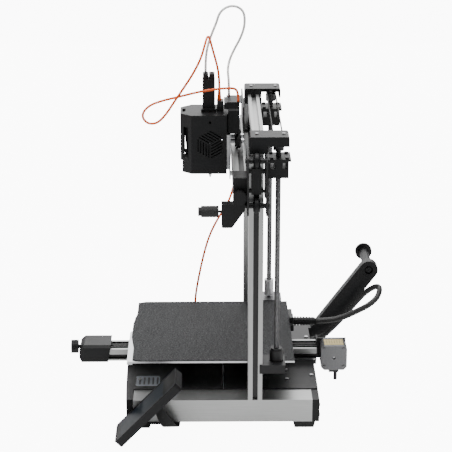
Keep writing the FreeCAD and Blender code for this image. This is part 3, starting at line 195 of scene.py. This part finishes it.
# %% [markdown]
# ## Camera
#
# The machine was seen from its right side, a little from above, through a long lens: far enough away
# that the near and the far upright almost line up. A camera's own axes are right, up and backwards, so
# three unit vectors in columns are its rotation, with no angles to convert.

# %% Camera
CAMERA_AT = (2.40414, -0.02897, 1.08218)
DIP, SWING = 0.32317, 0.01215
LENS, SENSOR = 125.4, 36.0


def look(dip, swing):
    """A camera rotation: along -X, dipped down, swung towards +Y."""
    away = np.array([-math.cos(dip) * math.cos(swing), math.cos(dip) * math.sin(swing), -math.sin(dip)])
    right = np.array([math.sin(swing), math.cos(swing), 0.0])
    return np.column_stack([right, np.cross(right, away), -away])


lens = bpy.data.cameras.new("camera")
lens.lens, lens.sensor_width, lens.clip_end = LENS, SENSOR, 100.0
camera = bpy.data.objects.new("camera", lens)
bpy.context.collection.objects.link(camera)
pose = np.eye(4)
pose[:3, :3] = look(DIP, SWING)
pose[:3, 3] = CAMERA_AT
camera.matrix_world = mathutils.Matrix(pose.tolist())
bpy.context.scene.camera = camera
print("camera", CAMERA_AT, "lens", LENS)

# %% [markdown]
# ## Meshes from grids
#
# Every new piece is a grid of points, rows by columns, which array arithmetic joins into quads: a
# floor, a label, a tube. Pieces stay at the origin, so their points are already where they belong.

# %% Grids and pieces
def grid_mesh(name, points, wrap_v=False):
    """A mesh from a grid of points, rows by columns: point (u, v) joins (u+1, v), (u+1, v+1) and
    (u, v+1) in a quad. Points that lie on each other, as at a pole, become one."""
    rows, cols = points.shape[:2]
    uu, vv = np.meshgrid(np.arange(rows - 1), np.arange(cols if wrap_v else cols - 1), indexing="ij")
    u2, v2 = uu + 1, (vv + 1) % cols
    corners = [uu * cols + vv, u2 * cols + vv, u2 * cols + v2, uu * cols + v2]
    quads = np.stack(corners, axis=-1).reshape(-1, 4)
    mesh = bpy.data.meshes.new(name)
    mesh.from_pydata(points.reshape(-1, 3).tolist(), [], quads.tolist())
    shape = bmesh.new()
    shape.from_mesh(mesh)
    bmesh.ops.remove_doubles(shape, verts=shape.verts, dist=1e-7)
    shape.to_mesh(mesh)
    shape.free()
    mesh.polygons.foreach_set("use_smooth", np.ones(len(mesh.polygons), dtype=bool))
    mesh.update()
    return mesh


def new_piece(name, mesh, finish, body=None):
    """An object at the origin, with its finish, riding on a body."""
    piece = bpy.data.objects.new(name, mesh)
    bpy.context.collection.objects.link(piece)
    mesh.materials.append(MATERIALS[finish])
    if body:
        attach(piece, body)
    return piece


# %% [markdown]
# ## Floor
#
# A catalogue picture stands on white paper that is burnt out to plain white. Real paper that bright
# would also light the machine from below and turn its blacks grey. So the floor is pale and dull, and a
# Light Path node shows only the lens a share of shining white paper.

# %% Floor
FLOOR_REACH = 45.0


def paint_floor(place):
    tone = place.noise(3.0, 3.0)
    return {"Base Color": tone.mix((0.93, 0.93, 0.93), (0.95, 0.95, 0.95)), "Roughness": 0.6,
            "Emission Color": tone.mix((0.98, 0.98, 0.98), (1.0, 1.0, 1.0)), "Emission Strength": 0.25}


def seen_white(made, share, strength):
    """Lets the lens see a share of plain white paper, while the object is lit by the real floor."""
    tree = made.node_tree
    real = Sock(tree, tree.nodes["Principled BSDF"].outputs["BSDF"])
    seen = real.node("ShaderNodeLightPath")
    paper = real.node("ShaderNodeEmission", Strength=strength)
    mixed = real.node("ShaderNodeMixShader", i0=seen * share, i1=real, i2=paper)
    real.feed(tree.nodes["Material Output"].inputs["Surface"], mixed)


seen_white(material("floor", paint_floor), 0.85, 12.0)
side = np.linspace(-FLOOR_REACH, FLOOR_REACH, 9)
floor_points = np.stack(np.meshgrid(side, side, indexing="ij") + [np.zeros((9, 9))], axis=-1)
floor = new_piece("floor", grid_mesh("floor", floor_points), "floor")
print("floor", 2 * FLOOR_REACH, "m wide")

# %% [markdown]
# ## Light
#
# One big soft box overhead does most of the work. A second, behind the machine, is what its top faces
# mirror, so caps and beams read bright while their sides stay dark. The key and the fill are weak:
# they only keep the black plastic from going dead.

# %% Soft boxes
def soft_box(name, at, towards, size, watts):
    """A square area light that looks at a point."""
    light = bpy.data.lights.new(name, "AREA")
    light.shape, light.size, light.energy = "SQUARE", size, watts
    lamp = bpy.data.objects.new(name, light)
    bpy.context.collection.objects.link(lamp)
    lamp.location = at
    aim = mathutils.Vector(towards) - mathutils.Vector(at)
    lamp.rotation_euler = aim.to_track_quat("-Z", "Y").to_euler()
    print(name, watts, "W")


soft_box("overhead", (0.0, 0.0, 2.2), (0, 0, 0.2), 2.0, 70)
soft_box("key", (1.6, -2.0, 1.3), (0, 0, 0.25), 1.0, 9)
soft_box("fill", (1.2, 2.2, 1.2), (0, 0, 0.25), 1.0, 6)
soft_box("behind", (-2.4, 0.0, 1.1), (0, 0, 0.3), 2.2, 46)
world = bpy.data.worlds.new("studio")
bpy.context.scene.world = world
world.use_nodes = True
sky = world.node_tree.nodes["Background"].inputs
sky["Color"].default_value = (0.95, 0.97, 1.0, 1.0)
sky["Strength"].default_value = 0.12

# %% [markdown]
# ## Metals
#
# Extruded aluminium shows long faint streaks along the bar, because the die drags on it, and a satin
# sheen from anodising. The streaks are noise stretched fifty times along the bar's own direction, so
# there is one paint for each direction. A slotted bar adds one thing: whatever lies deeper than its
# outer faces is the inside of a slot, where little light gets in, so it is painted dark as painted shade.

# %% Extruded bars
SQUEEZE = {"x": (0.02, 1, 1), "y": (1, 0.02, 1), "z": (1, 1, 0.02)}


def extruded(direction):
    """Satin anodised aluminium, drawn along one axis."""
    def paint(place):
        streak = place.stretched(*SQUEEZE[direction]).noise(900.0, 3.0, 0.6)
        cloud = place.noise(14.0, 3.0)
        tone = (streak * 0.6 + cloud * 0.4).mix((0.33, 0.335, 0.33), (0.56, 0.565, 0.56))
        return {"Base Color": tone, "Metallic": 1.0, "Roughness": 0.30 + streak * 0.14 + cloud * 0.06,
                "Normal": bump(streak, 0.00002, 0.6)}
    return paint


def slotted(direction, node):
    """The same, with painted shade: the inside of the bar's slots is painted near black and not metallic."""
    low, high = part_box(node)

    def paint(place):
        look = extruded(direction)(place)
        depths = [(at - low[n]).least(high[n] - at)
                  for n, at in enumerate(place.axes()) if "xyz"[n] != direction]
        # Painted shade: face is 0 deeper than the outer faces, inside the slots, which are painted near
        # black.
        face = 1 - depths[1].least(depths[0]).rise(0.0004, 0.0016)
        look["Base Color"] = face.mix((0.012, 0.012, 0.012), look["Base Color"])
        look["Metallic"] = face
        return look
    return paint


for axis in "xy":
    material("rail_" + axis, extruded(axis))
for node, axis in (("upright_left", "z"), ("upright_right", "z"), ("y_beam", "y"), ("x_beam", "x")):
    material(node, slotted(axis, node))
print("bars:", sorted(MATERIALS))

# %% [markdown]
# ## Plate, steel and motors
#
# Machined plate keeps fine parallel tool marks. Plain steel is darker and evenly speckled. A stepper
# motor is stacked steel sheets between cast end caps; below it hangs a black plug, on the same node, so
# the paint changes at the height where the motor's square body ends.

# %% Plate, steel and motors
MOTOR_SIDE = 0.0423
MOTOR_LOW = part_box("y_motor")[1][2] - MOTOR_SIDE


def paint_bright(place):
    """Machined plate: fine tool marks and a few handling smudges."""
    marks = place.stretched(1, 0.05, 1).noise(1400.0, 2.0)
    smudge = place.noise(22.0, 4.0)
    return {"Base Color": marks.mix((0.62, 0.63, 0.64), (0.74, 0.75, 0.76)), "Metallic": 1.0,
            "Roughness": 0.24 + smudge * 0.16, "Normal": bump(marks, 0.00001)}


def paint_steel(place):
    speck = place.noise(700.0, 3.0)
    return {"Base Color": speck.mix((0.34, 0.34, 0.35), (0.5, 0.5, 0.51)), "Metallic": 1.0,
            "Roughness": 0.28 + speck * 0.14, "Normal": bump(speck, 0.00001)}


def paint_motor(place):
    """Stacked steel sheets between cast end caps, and a black plug and cable under them."""
    x, y, z = place.axes()
    sheets = place.noise(420.0, 2.0)
    metal = z.rise(MOTOR_LOW - 0.0002, MOTOR_LOW)
    tone = metal.mix((0.014, 0.014, 0.015), sheets.mix((0.15, 0.15, 0.155), (0.25, 0.25, 0.255)))
    return {"Base Color": tone, "Metallic": metal * 0.85, "Roughness": 0.38 + sheets * 0.16,
            "Normal": bump(sheets, 0.00004)}


material("bright", paint_bright)
material("steel", paint_steel)
material("motor", paint_motor)
print("motor body starts at", round(MOTOR_LOW, 4))

# %% [markdown]
# ## Threads
#
# A lead screw is the same steel with a thread. The thread is a wave of height plus angle: one turn
# of the angle moves it by one pitch, which is all that a helix is. The left screw carries a bright
# turned coupler at its foot: there the metal lies further out than the screw's own radius.

# %% Threaded steel
PITCH = 0.002
TURN = 2 * math.pi


def threaded(centre_x, centre_y):
    """Steel with a helical thread of two-millimetre pitch about a vertical axis, and painted shade in its
    grooves.
    """
    def paint(place):
        x, y, z = place.axes()
        turns = z / PITCH + (y - centre_y).angle(x - centre_x) / TURN
        ridge = (turns * TURN).sine() * 0.5 + 0.5
        grime = place.noise(60.0, 3.0)
        # Painted shade: the thread's grooves are painted near black and its crests steel grey.
        steel = (ridge * 0.8 + grime * 0.2).mix((0.03, 0.03, 0.032), (0.30, 0.30, 0.305))
        reach = ((x - centre_x) ** 2 + (y - centre_y) ** 2) ** 0.5
        coupler = reach.rise(0.0045, 0.0050) * (1 - z.rise(0.135, 0.136))
        return {"Base Color": coupler.mix(steel, (0.80, 0.80, 0.81)), "Metallic": 0.9 - coupler * 0.3,
                "Roughness": 0.3 + grime * 0.2, "Normal": bump(ridge * (1 - coupler), 0.0008)}
    return paint


screw_low, screw_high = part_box("screw_right")
screw_x, screw_y = ((screw_low[n] + screw_high[n]) / 2 for n in (0, 1))
material("thread_right", threaded(screw_x, screw_y))
material("thread_left", threaded(-screw_x, screw_y))
print("screws at", round(screw_x, 4), round(screw_y, 4))

# %% [markdown]
# ## Black parts
#
# Nearly the whole machine is black, so the blacks have to differ: spark-eroded plastic has a fine
# grain and a soft sheen, powder coat on steel is rounder and a bit glossier, rubber is dull. Each
# outer edge gets a painted highlight, a shade lighter, which a bevel node finds without touching the mesh.

# %% Plastic, powder coat and rubber
def paint_black_plastic(place):
    fine = place.noise(2600.0, 2.0)
    wide = place.noise(35.0, 3.0)
    # The colour mixes random tone with a painted highlight along each outer edge.
    tone = (wide * 0.5 + painted_edge_highlight(place) * 0.5).mix((0.005, 0.005, 0.0055), (0.018, 0.018, 0.019))
    return {"Base Color": tone, "Roughness": 0.42 + wide * 0.08, "Normal": bump(fine, 0.00005, 0.6),
            "Specular IOR Level": 0.26}


def paint_coat(place):
    pebble = place.noise(1500.0, 1.0)
    wide = place.noise(20.0, 3.0)
    # The colour mixes random tone with a painted highlight along each outer edge.
    tone = (wide * 0.6 + painted_edge_highlight(place) * 0.4).mix((0.007, 0.007, 0.0075), (0.020, 0.020, 0.021))
    return {"Base Color": tone, "Roughness": 0.40 + wide * 0.12, "Normal": bump(pebble, 0.00008, 0.7),
            "Specular IOR Level": 0.35}


def paint_rubber(place):
    dust = place.noise(90.0, 4.0)
    tone = dust.mix((0.012, 0.012, 0.012), (0.03, 0.03, 0.03))
    return {"Base Color": tone, "Roughness": 0.7 + dust * 0.15, "Normal": bump(dust, 0.0002, 0.5)}


material("black_plastic", paint_black_plastic)
material("coat", paint_coat)
material("rubber", paint_rubber)
print("blacks ready")

# %% [markdown]
# ## Belts
#
# A toothed belt is black rubber with a tooth every two millimetres. On a straight run the teeth are
# a square wave along the run: a sine, cut off at a low and a high level.

# %% Belts
def belt(direction):
    def paint(place):
        along = place.axes()["xyz".index(direction)]
        tooth = (along * (TURN / PITCH)).sine().rise(-0.3, 0.3)
        # Painted shade: the gaps between the teeth are painted darker than the teeth.
        return {"Base Color": tooth.mix((0.008, 0.008, 0.008), (0.035, 0.035, 0.035)), "Roughness": 0.62,
                "Normal": bump(tooth, 0.0006)}
    return paint


for axis in "xy":
    material("belt_" + axis, belt(axis))
print("belts run along x and y")

# %% [markdown]
# ## Build sheet
#
# The build sheet is spring steel with a rough textured coat: thousands of tiny glassy grains that
# sparkle grey. A coarse noise and a fine cell pattern make the grain, and it goes into both the colour
# and the bump.

# %% Build sheet
def paint_sheet(place):
    fine = place.cells(1100.0)
    coarse = place.noise(420.0, 3.0, 0.7)
    grain = coarse.rise(0.42, 0.66) * 0.7 + (1 - fine.rise(0.0, 0.7)) * 0.3
    wide = place.noise(7.0, 2.0)
    tone = grain.mix((0.008, 0.0085, 0.009), (0.10, 0.102, 0.105))
    return {"Base Color": tone, "Roughness": 0.62 + wide * 0.08, "Normal": bump(grain, 0.0006, 0.9),
            "Specular IOR Level": 0.18}


material("sheet", paint_sheet)
print("sheet grain ready")

# %% [markdown]
# ## Touch screen
#
# The glass is nearly black and hides its display until light comes through. One paint draws both: the
# display is where the place lies within fractions of the glass's own box, so no second mesh is needed.

# %% Glass
def paint_glass(place):
    """Dark glass with a dim display behind it: a wide bezel at the far end, a narrow one elsewhere."""
    x, y, z = place.axes()
    low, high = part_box("screen_glass")
    along = (y - low[1]) / (high[1] - low[1])
    across = (x - low[0]) / (high[0] - low[0])
    lit = along.between(0.06, 0.80, 0.004) * across.between(0.06, 0.94, 0.006)
    smear = place.noise(30.0, 4.0)
    screen = (along * 0.8 + smear * 0.2).mix((0.005, 0.008, 0.012), (0.013, 0.018, 0.025))
    return {"Base Color": lit.mix((0.002, 0.002, 0.0022), screen), "Roughness": 0.30 + smear * 0.12,
            "Coat Weight": smear * 0.04, "Specular IOR Level": 0.12}


material("glass", paint_glass)

# %% [markdown]
# ## Sleeves, plug and board
#
# Cable jackets and the filament tube are smooth plastic with a faint drift of tone. The plug is one
# CAD node but two things, a black socket and the cable's orange boot, so its paint splits by height.

# %% Sleeves, plug and board
ORANGE = (0.80, 0.085, 0.010), (0.95, 0.16, 0.022)


def sleeve(dark, light, rough):
    def paint(place):
        fine = place.noise(1200.0, 2.0)
        wide = place.noise(40.0, 2.0)
        return {"Base Color": (fine * 0.4 + wide * 0.6).mix(dark, light), "Roughness": rough + wide * 0.08,
                "Normal": bump(fine, 0.00008, 0.6)}
    return paint


def paint_plug(place):
    """A black socket below, the orange boot of the cable above it."""
    x, y, z = place.axes()
    fine = place.noise(1200.0, 2.0)
    boot = z.rise(0.4856, 0.4858)
    return {"Base Color": boot.mix((0.012, 0.012, 0.012), fine.mix(*ORANGE)),
            "Roughness": 0.42 + fine * 0.1, "Normal": bump(fine, 0.00008, 0.6)}


def paint_board(place):
    """Green board: thin gaps between cells read as copper tracks."""
    track = place.stretched(1, 1, 0.2).cells(240.0, "DISTANCE_TO_EDGE").rise(0.02, 0.09)
    tone = track.mix((0.10, 0.30, 0.16), (0.015, 0.09, 0.05))
    return {"Base Color": tone, "Roughness": 0.35 + track * 0.1}


material("orange", sleeve(*ORANGE, 0.42))
material("white_tube", sleeve((0.74, 0.74, 0.72), (0.86, 0.86, 0.85), 0.3))
material("cable_black", sleeve((0.008, 0.008, 0.008), (0.02, 0.02, 0.02), 0.5))
material("plug", paint_plug)
material("board", paint_board)
print(len(MATERIALS), "finishes")

# %% [markdown]
# ## Dressing the frame
#
# Each CAD node keeps its shape and takes a finish from the list.

# %% Finishes by node
FINISH = {
    "rail_y": ["rail_left", "rail_right"],
    "rail_x": ["top_beam"],
    "upright_left": ["upright_left"],
    "upright_right": ["upright_right"],
    "y_beam": ["y_beam"],
    "x_beam": ["x_beam"],
    "bright": ["heated_bed", "head_plate", "bed_strip", "y_pulley", "x_pulley", "hotend"],
    "steel": ["frame_screws"],
    "motor": ["y_motor", "z_motor", "x_motor"],
    "thread_left": ["screw_left"],
    "thread_right": ["screw_right"],
    "coat": ["base_cover", "base_pan", "y_motor_bracket", "bed_carriage", "plates_left", "plates_right",
             "z_bracket"],
    "black_plastic": ["front_fascia", "rear_panel", "y_tensioner", "screen_case", "power_rocker",
                      "y_knob", "x_knob", "bed_bearings", "cable_clamp", "x_tensioner", "wiper_arm",
                      "nut_blocks", "lift_wheels", "hood", "feeder", "inlet_block", "head_fan",
                      "head_wheels", "spool_arm", "spool_rod", "top_caps"],
    "rubber": ["feet", "wiper_roller"],
    "belt_x": ["x_belt", "sync_belt"],
    "belt_y": ["y_belt"],
    "sheet": ["build_sheet"],
    "glass": ["screen_glass"],
    "board": ["electronics"],
    "plug": ["cable_plug"],
}


def dress(node, finish):
    """Puts one finish on every slot of a CAD node."""
    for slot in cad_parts[node].material_slots:
        slot.material = MATERIALS[finish]


for finish, nodes in FINISH.items():
    for node in nodes:
        dress(node, finish)
print("dressed", sum(len(nodes) for nodes in FINISH.values()), "nodes")

# %% [markdown]
# ## Routes of the cables and the tube
#
# Each cable is a smooth spline that a handful of control points pull into shape, in millimetres: out
# of its exit, round its loop and into its end. The black cable feeds the bed, the orange pair goes to
# the head and to the base, and the white tube leads the filament into the feeder.

# %% Routes
BED_CABLE = [(-42, 149.1, 95), (-42, 172, 95), (-42, 197, 101), (-43, 219, 111.5), (-42.5, 238.5, 122),
             (-52.5, 253.5, 131), (-67.5, 259.5, 138.5), (-86.5, 260.5, 139), (-103, 254, 132.5),
             (-113, 240.5, 119.5), (-114, 224, 100), (-114, 205.5, 76), (-114, 186, 54), (-114, 166, 34),
             (-114, 144.45, 31)]
HEAD_CABLE = [(0, -10.2, 501.55), (0, -10.2, 524), (1, -15, 547), (3, -21, 568), (9, -25, 586),
              (23, -28.5, 592), (36, -32, 583), (41, -38, 562), (41, -50, 538), (41, -65, 515),
              (41, -80, 493), (40, -94, 471), (38, -108, 457), (37, -123.5, 457.5), (37, -131.5, 471),
              (37, -120, 486), (37, -98, 494), (37, -72, 500), (37, -45, 507), (37, -18, 511.5),
              (35, 2, 513), (29, 14.5, 511), (24, 19, 502), (24, 19, 488.65)]
FEED_TUBE = [(-4.8, -31.6, 529.05), (-4.8, -31.6, 552), (-5, -27.5, 574), (-5, -20, 594),
             (-5.3, -14, 608.5), (-6, -10.6, 620.4), (-8, -2.4, 629), (-11, 8.7, 632.3),
             (-15, 19.6, 629.6), (-20, 27.4, 621.8), (-25.2, 30, 609.8), (-31, 29, 593),
             (-37, 23, 575), (-41, 14, 558), (-38, 6, 541), (-26, 3, 527), (-12, 5, 512.5),
             (-12, 5, 488.65)]
SIDE_CABLE = [(-140, 19, 371.5), (-140, 19, 338), (-139, 16, 305), (-138, 6, 272), (-137, -12, 245),
              (-136, -27, 214), (-135, -37, 178), (-135, -45, 140), (-135, -51, 104), (-135, -52, 75),
              (-135, -52, 49.4)]
print("control points:", [len(route) for route in (BED_CABLE, HEAD_CABLE, FEED_TUBE, SIDE_CABLE)])

# %% [markdown]
# ## From a route to a tube
#
# The spline is turned into points, and a round section is carried along them: each ring is the last
# ring's axes turned as little as possible, so the section never twists. A curve's own bevel would be
# shorter to write; here the tube is a plain mesh.

# %% Tubes
def spline_points(route):
    """Points along the NURBS spline whose control points are the route, in metres."""
    curve = bpy.data.curves.new("route", "CURVE")
    curve.dimensions = "3D"
    spline = curve.splines.new("NURBS")
    spline.points.add(len(route) - 1)
    spline.points.foreach_set("co", np.column_stack([np.array(route) / 1000, np.ones(len(route))]).ravel())
    spline.order_u = 3
    spline.use_endpoint_u = True
    spline.resolution_u = 8
    helper = bpy.data.objects.new("route", curve)
    mesh = bpy.data.meshes.new_from_object(helper)
    points = np.zeros(len(mesh.vertices) * 3)
    mesh.vertices.foreach_get("co", points)
    bpy.data.objects.remove(helper)
    bpy.data.meshes.remove(mesh)
    bpy.data.curves.remove(curve)
    return points.reshape(-1, 3)


def tube_grid(points, radius, sides=14):
    """Rings of points round a path: point + radius * (across * cos(angle) + side * sin(angle)), where
    across and side are at right angles to the path and to each other."""
    tangents = np.gradient(points, axis=0)
    tangents /= np.linalg.norm(tangents, axis=1, keepdims=True)
    across = np.cross(tangents[0], (0.31, 0.87, 0.38))
    rings, angle = [], np.linspace(0, 2 * np.pi, sides, endpoint=False)
    for point, tangent in zip(points, tangents):
        across = across - tangent * (across @ tangent)
        across /= np.linalg.norm(across)
        side = np.cross(tangent, across)
        rings.append(point + radius * (np.outer(np.cos(angle), across) + np.outer(np.sin(angle), side)))
    return np.array(rings)


def capped(rings):
    """Closes a tube by shrinking one more ring to a point at each end. The rings are run backwards,
    which turns the tube's faces outward."""
    first, last = (np.repeat(end.mean(axis=1, keepdims=True), rings.shape[1], axis=1)
                   for end in (rings[:1], rings[-1:]))
    return np.concatenate([first, rings, last])[:, ::-1]


def cord(node, route, radius, finish, ends):
    """A round cord along a route in place of its CAD node. ends are the two bodies that it joins, or
    the one that it rides on."""
    points = spline_points(route)
    name = node + "_soft"
    piece = new_piece(name, grid_mesh(name, capped(tube_grid(points, radius)), wrap_v=True), finish)
    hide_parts(node)
    if len(ends) == 2:
        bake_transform(piece)
    else:
        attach(piece, ends[0])
    run = np.linalg.norm(np.diff(points, axis=0), axis=1).sum()
    print(f"{node}: {run * 1000:.0f} mm along its spline")


# %% [markdown]
# ## The four cords
#
# Two of them join moving bodies, the bed's cable and the gantry's, and stay where they are drawn. The loop
# over the head and the filament tube both start and end on the head, so they ride with it.

# %% Cords
CABLE_R, TUBE_R, BED_CABLE_R = 0.0019, 0.002, 0.0047
cord("bed_cable", BED_CABLE, BED_CABLE_R, "cable_black", ("bed", "frame"))
cord("head_cable", HEAD_CABLE, CABLE_R, "orange", ("head",))
cord("feed_tube", FEED_TUBE, TUBE_R, "white_tube", ("head",))
cord("side_cable", SIDE_CABLE, CABLE_R, "orange", ("gantry", "frame"))

# %% [markdown]
# ## Labels and a strip
#
# Small flat things sit a tenth of a millimetre above what they are stuck to. Each is a grid with a
# rounded outline: a superellipse, so |u|^n + |v|^n = 1, with a high n for a nearly square corner.

# %% Stickers
def sticker(name, centre, half_u, half_v, finish, body="frame", power=9.0):
    """A flat piece that faces up, with rounded corners: rings of a superellipse, from its centre out,
    whose reach at an angle is (|cos|^power + |sin|^power) ^ (-1 / power)."""
    ring, angle = np.linspace(0, 1, 6), np.linspace(0, 2 * np.pi, 64, endpoint=False)
    c, s = np.cos(angle), np.sin(angle)
    reach = (np.abs(c) ** power + np.abs(s) ** power) ** (-1 / power)
    flat = np.stack([np.outer(ring, reach * c) * half_u, np.outer(ring, reach * s) * half_v,
                     np.zeros((6, 64))], axis=-1)
    return new_piece(name, grid_mesh(name, flat + np.array(centre), wrap_v=True), finish, body)


print("sticker corners are superellipses")

# %% [markdown]
# The plate and the tag carry plain bars instead of writing, each a sine cut off at two levels and kept
# to a band across. The bright strip is the gap in the deck that catches light.

# %% Plate, tag and strip
def paint_label(place):
    """A blank silver rating plate with plain grey bars where text would be."""
    x, y, z = place.axes()
    bars = (y * 900).sine().rise(0.2, 0.5) * x.between(0.088, 0.115, 0.0005)
    grain = place.noise(500.0, 2.0)
    tone = (bars * 0.8 + grain * 0.2).mix((0.40, 0.43, 0.47), (0.04, 0.04, 0.045))
    return {"Base Color": tone, "Metallic": 0.3, "Roughness": 0.35 + grain * 0.1}


def paint_tag(place):
    """A cream paper tag with a dark rim and plain bars."""
    x, y, z = place.axes()
    inside = x.between(0.0165, 0.0395, 0.0003) * y.between(0.160, 0.191, 0.0003)
    bars = (y * 1500).sine().rise(0.3, 0.6) * x.between(0.021, 0.034, 0.0004)
    fibre = place.noise(800.0, 3.0)
    paper = (bars * 0.45 + fibre * 0.15).mix((0.62, 0.50, 0.22), (0.12, 0.10, 0.06))
    return {"Base Color": inside.mix((0.03, 0.03, 0.03), paper), "Roughness": 0.6 + fibre * 0.1}


material("label", paint_label)
material("tag", paint_tag)
PAPER, SUNK = 0.00012, 0.0003
DECK_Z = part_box("base_cover")[1][2]
MOTOR_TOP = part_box("y_motor")[1][2]
sticker("rating_label", (0.1015, -0.1255, DECK_Z + PAPER), 0.0195, 0.0195, "label")
sticker("motor_tag", (0.028, 0.1755, MOTOR_TOP + PAPER), 0.0135, 0.0175, "tag")
sticker("seam_strip", (0.0825, -0.0052, DECK_Z - SUNK), 0.0490, 0.0007, "bright", power=40.0)
print("labels at heights", round(DECK_Z, 4), round(MOTOR_TOP, 4))

# %% [markdown]
# ## Inside the head
#
# The grille would show daylight if the hood were empty, so a duct wall stands behind the grille on each
# side. It bows towards the grille and narrows towards the nozzle: a grid whose width shrinks with the
# square of the way down.

# %% Duct walls
HOOD_LOW, HOOD_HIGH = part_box("hood")
BOW, REACH = 0.004, 0.030


def duct(name, x, facing):
    """An open wall across the hood, at this place along X, that faces +X (1) or -X (-1). Its bow is
    1 - across^2, and its half width is 1 - down^2 / 4."""
    across, down = np.meshgrid(np.linspace(facing, -facing, 17), np.linspace(0, 1, 13), indexing="ij")
    middle = (HOOD_LOW[1] + HOOD_HIGH[1]) / 2
    top, bottom = HOOD_HIGH[2] - 0.008, HOOD_LOW[2] + 0.006
    points = np.stack([x + BOW * (1 - across ** 2), middle + REACH * across * (1 - 0.25 * down ** 2),
                       top + (bottom - top) * down], axis=-1)
    return new_piece(name, grid_mesh(name, points), "black_plastic", "head")


duct("duct_right", 0.0135, 1)
duct("duct_left", -0.0175, -1)
print("duct walls behind both grilles")

# %% [markdown]
# ## The screen's ribbon
#
# A flat cable drops from the screen and turns back under the base. It is a closed strip swept along a
# few points, and beside each point stands the direction of its width, which twists it as a real ribbon
# twists. Subdivision rounds the sweep, so the points can stay few.

# %% Ribbon
def squared(wave, power):
    """A sine or cosine flattened towards a square wave."""
    return np.sign(wave) * np.abs(wave) ** power


def unit(rows):
    return rows / np.linalg.norm(rows, axis=1, keepdims=True)


def ribbon(name, middle, sides, width, thick):
    """A flat cable swept along points: point + across * cos(u)^0.3 + out * sin(u)^0.5, which is a
    rounded rectangle, with its width turned by the sides."""
    line, along = np.array(middle) / 1000, unit(np.gradient(np.array(middle) / 1000, axis=0))
    sides = np.array(sides, dtype=float)
    across = unit(sides - along * (sides * along).sum(axis=1, keepdims=True))
    out = np.cross(along, across)
    u = np.linspace(0, 2 * np.pi, 28, endpoint=False)
    flat, deep = squared(np.cos(u), 0.3) * width / 2, squared(np.sin(u), 0.5) * thick / 2
    rings = line[:, None] + across[:, None] * flat[None, :, None] + out[:, None] * deep[None, :, None]
    piece = new_piece(name, grid_mesh(name, capped(rings), wrap_v=True), "cable_black", "frame")
    smooth = piece.modifiers.new("smooth", "SUBSURF")
    smooth.levels = smooth.render_levels = 2


RIBBON = [(190, -110, 52), (192, -104, 40), (192, -99, 30), (191, -94, 20), (187, -89, 11.5),
          (178, -86, 7), (164, -85, 6.5), (150, -85, 8)]
WIDTHWAYS = [(0.8, 0.6, 0.3), (0.7, 0.7, 0.2), (0.5, 0.85, 0.1), (0.3, 0.95, 0.1), (0.1, 1, 0), (0, 1, 0),
             (0, 1, 0), (0, 1, 0)]
ribbon("screen_ribbon", RIBBON, WIDTHWAYS, 0.024, 0.0012)
print("ribbon through", len(RIBBON), "points")
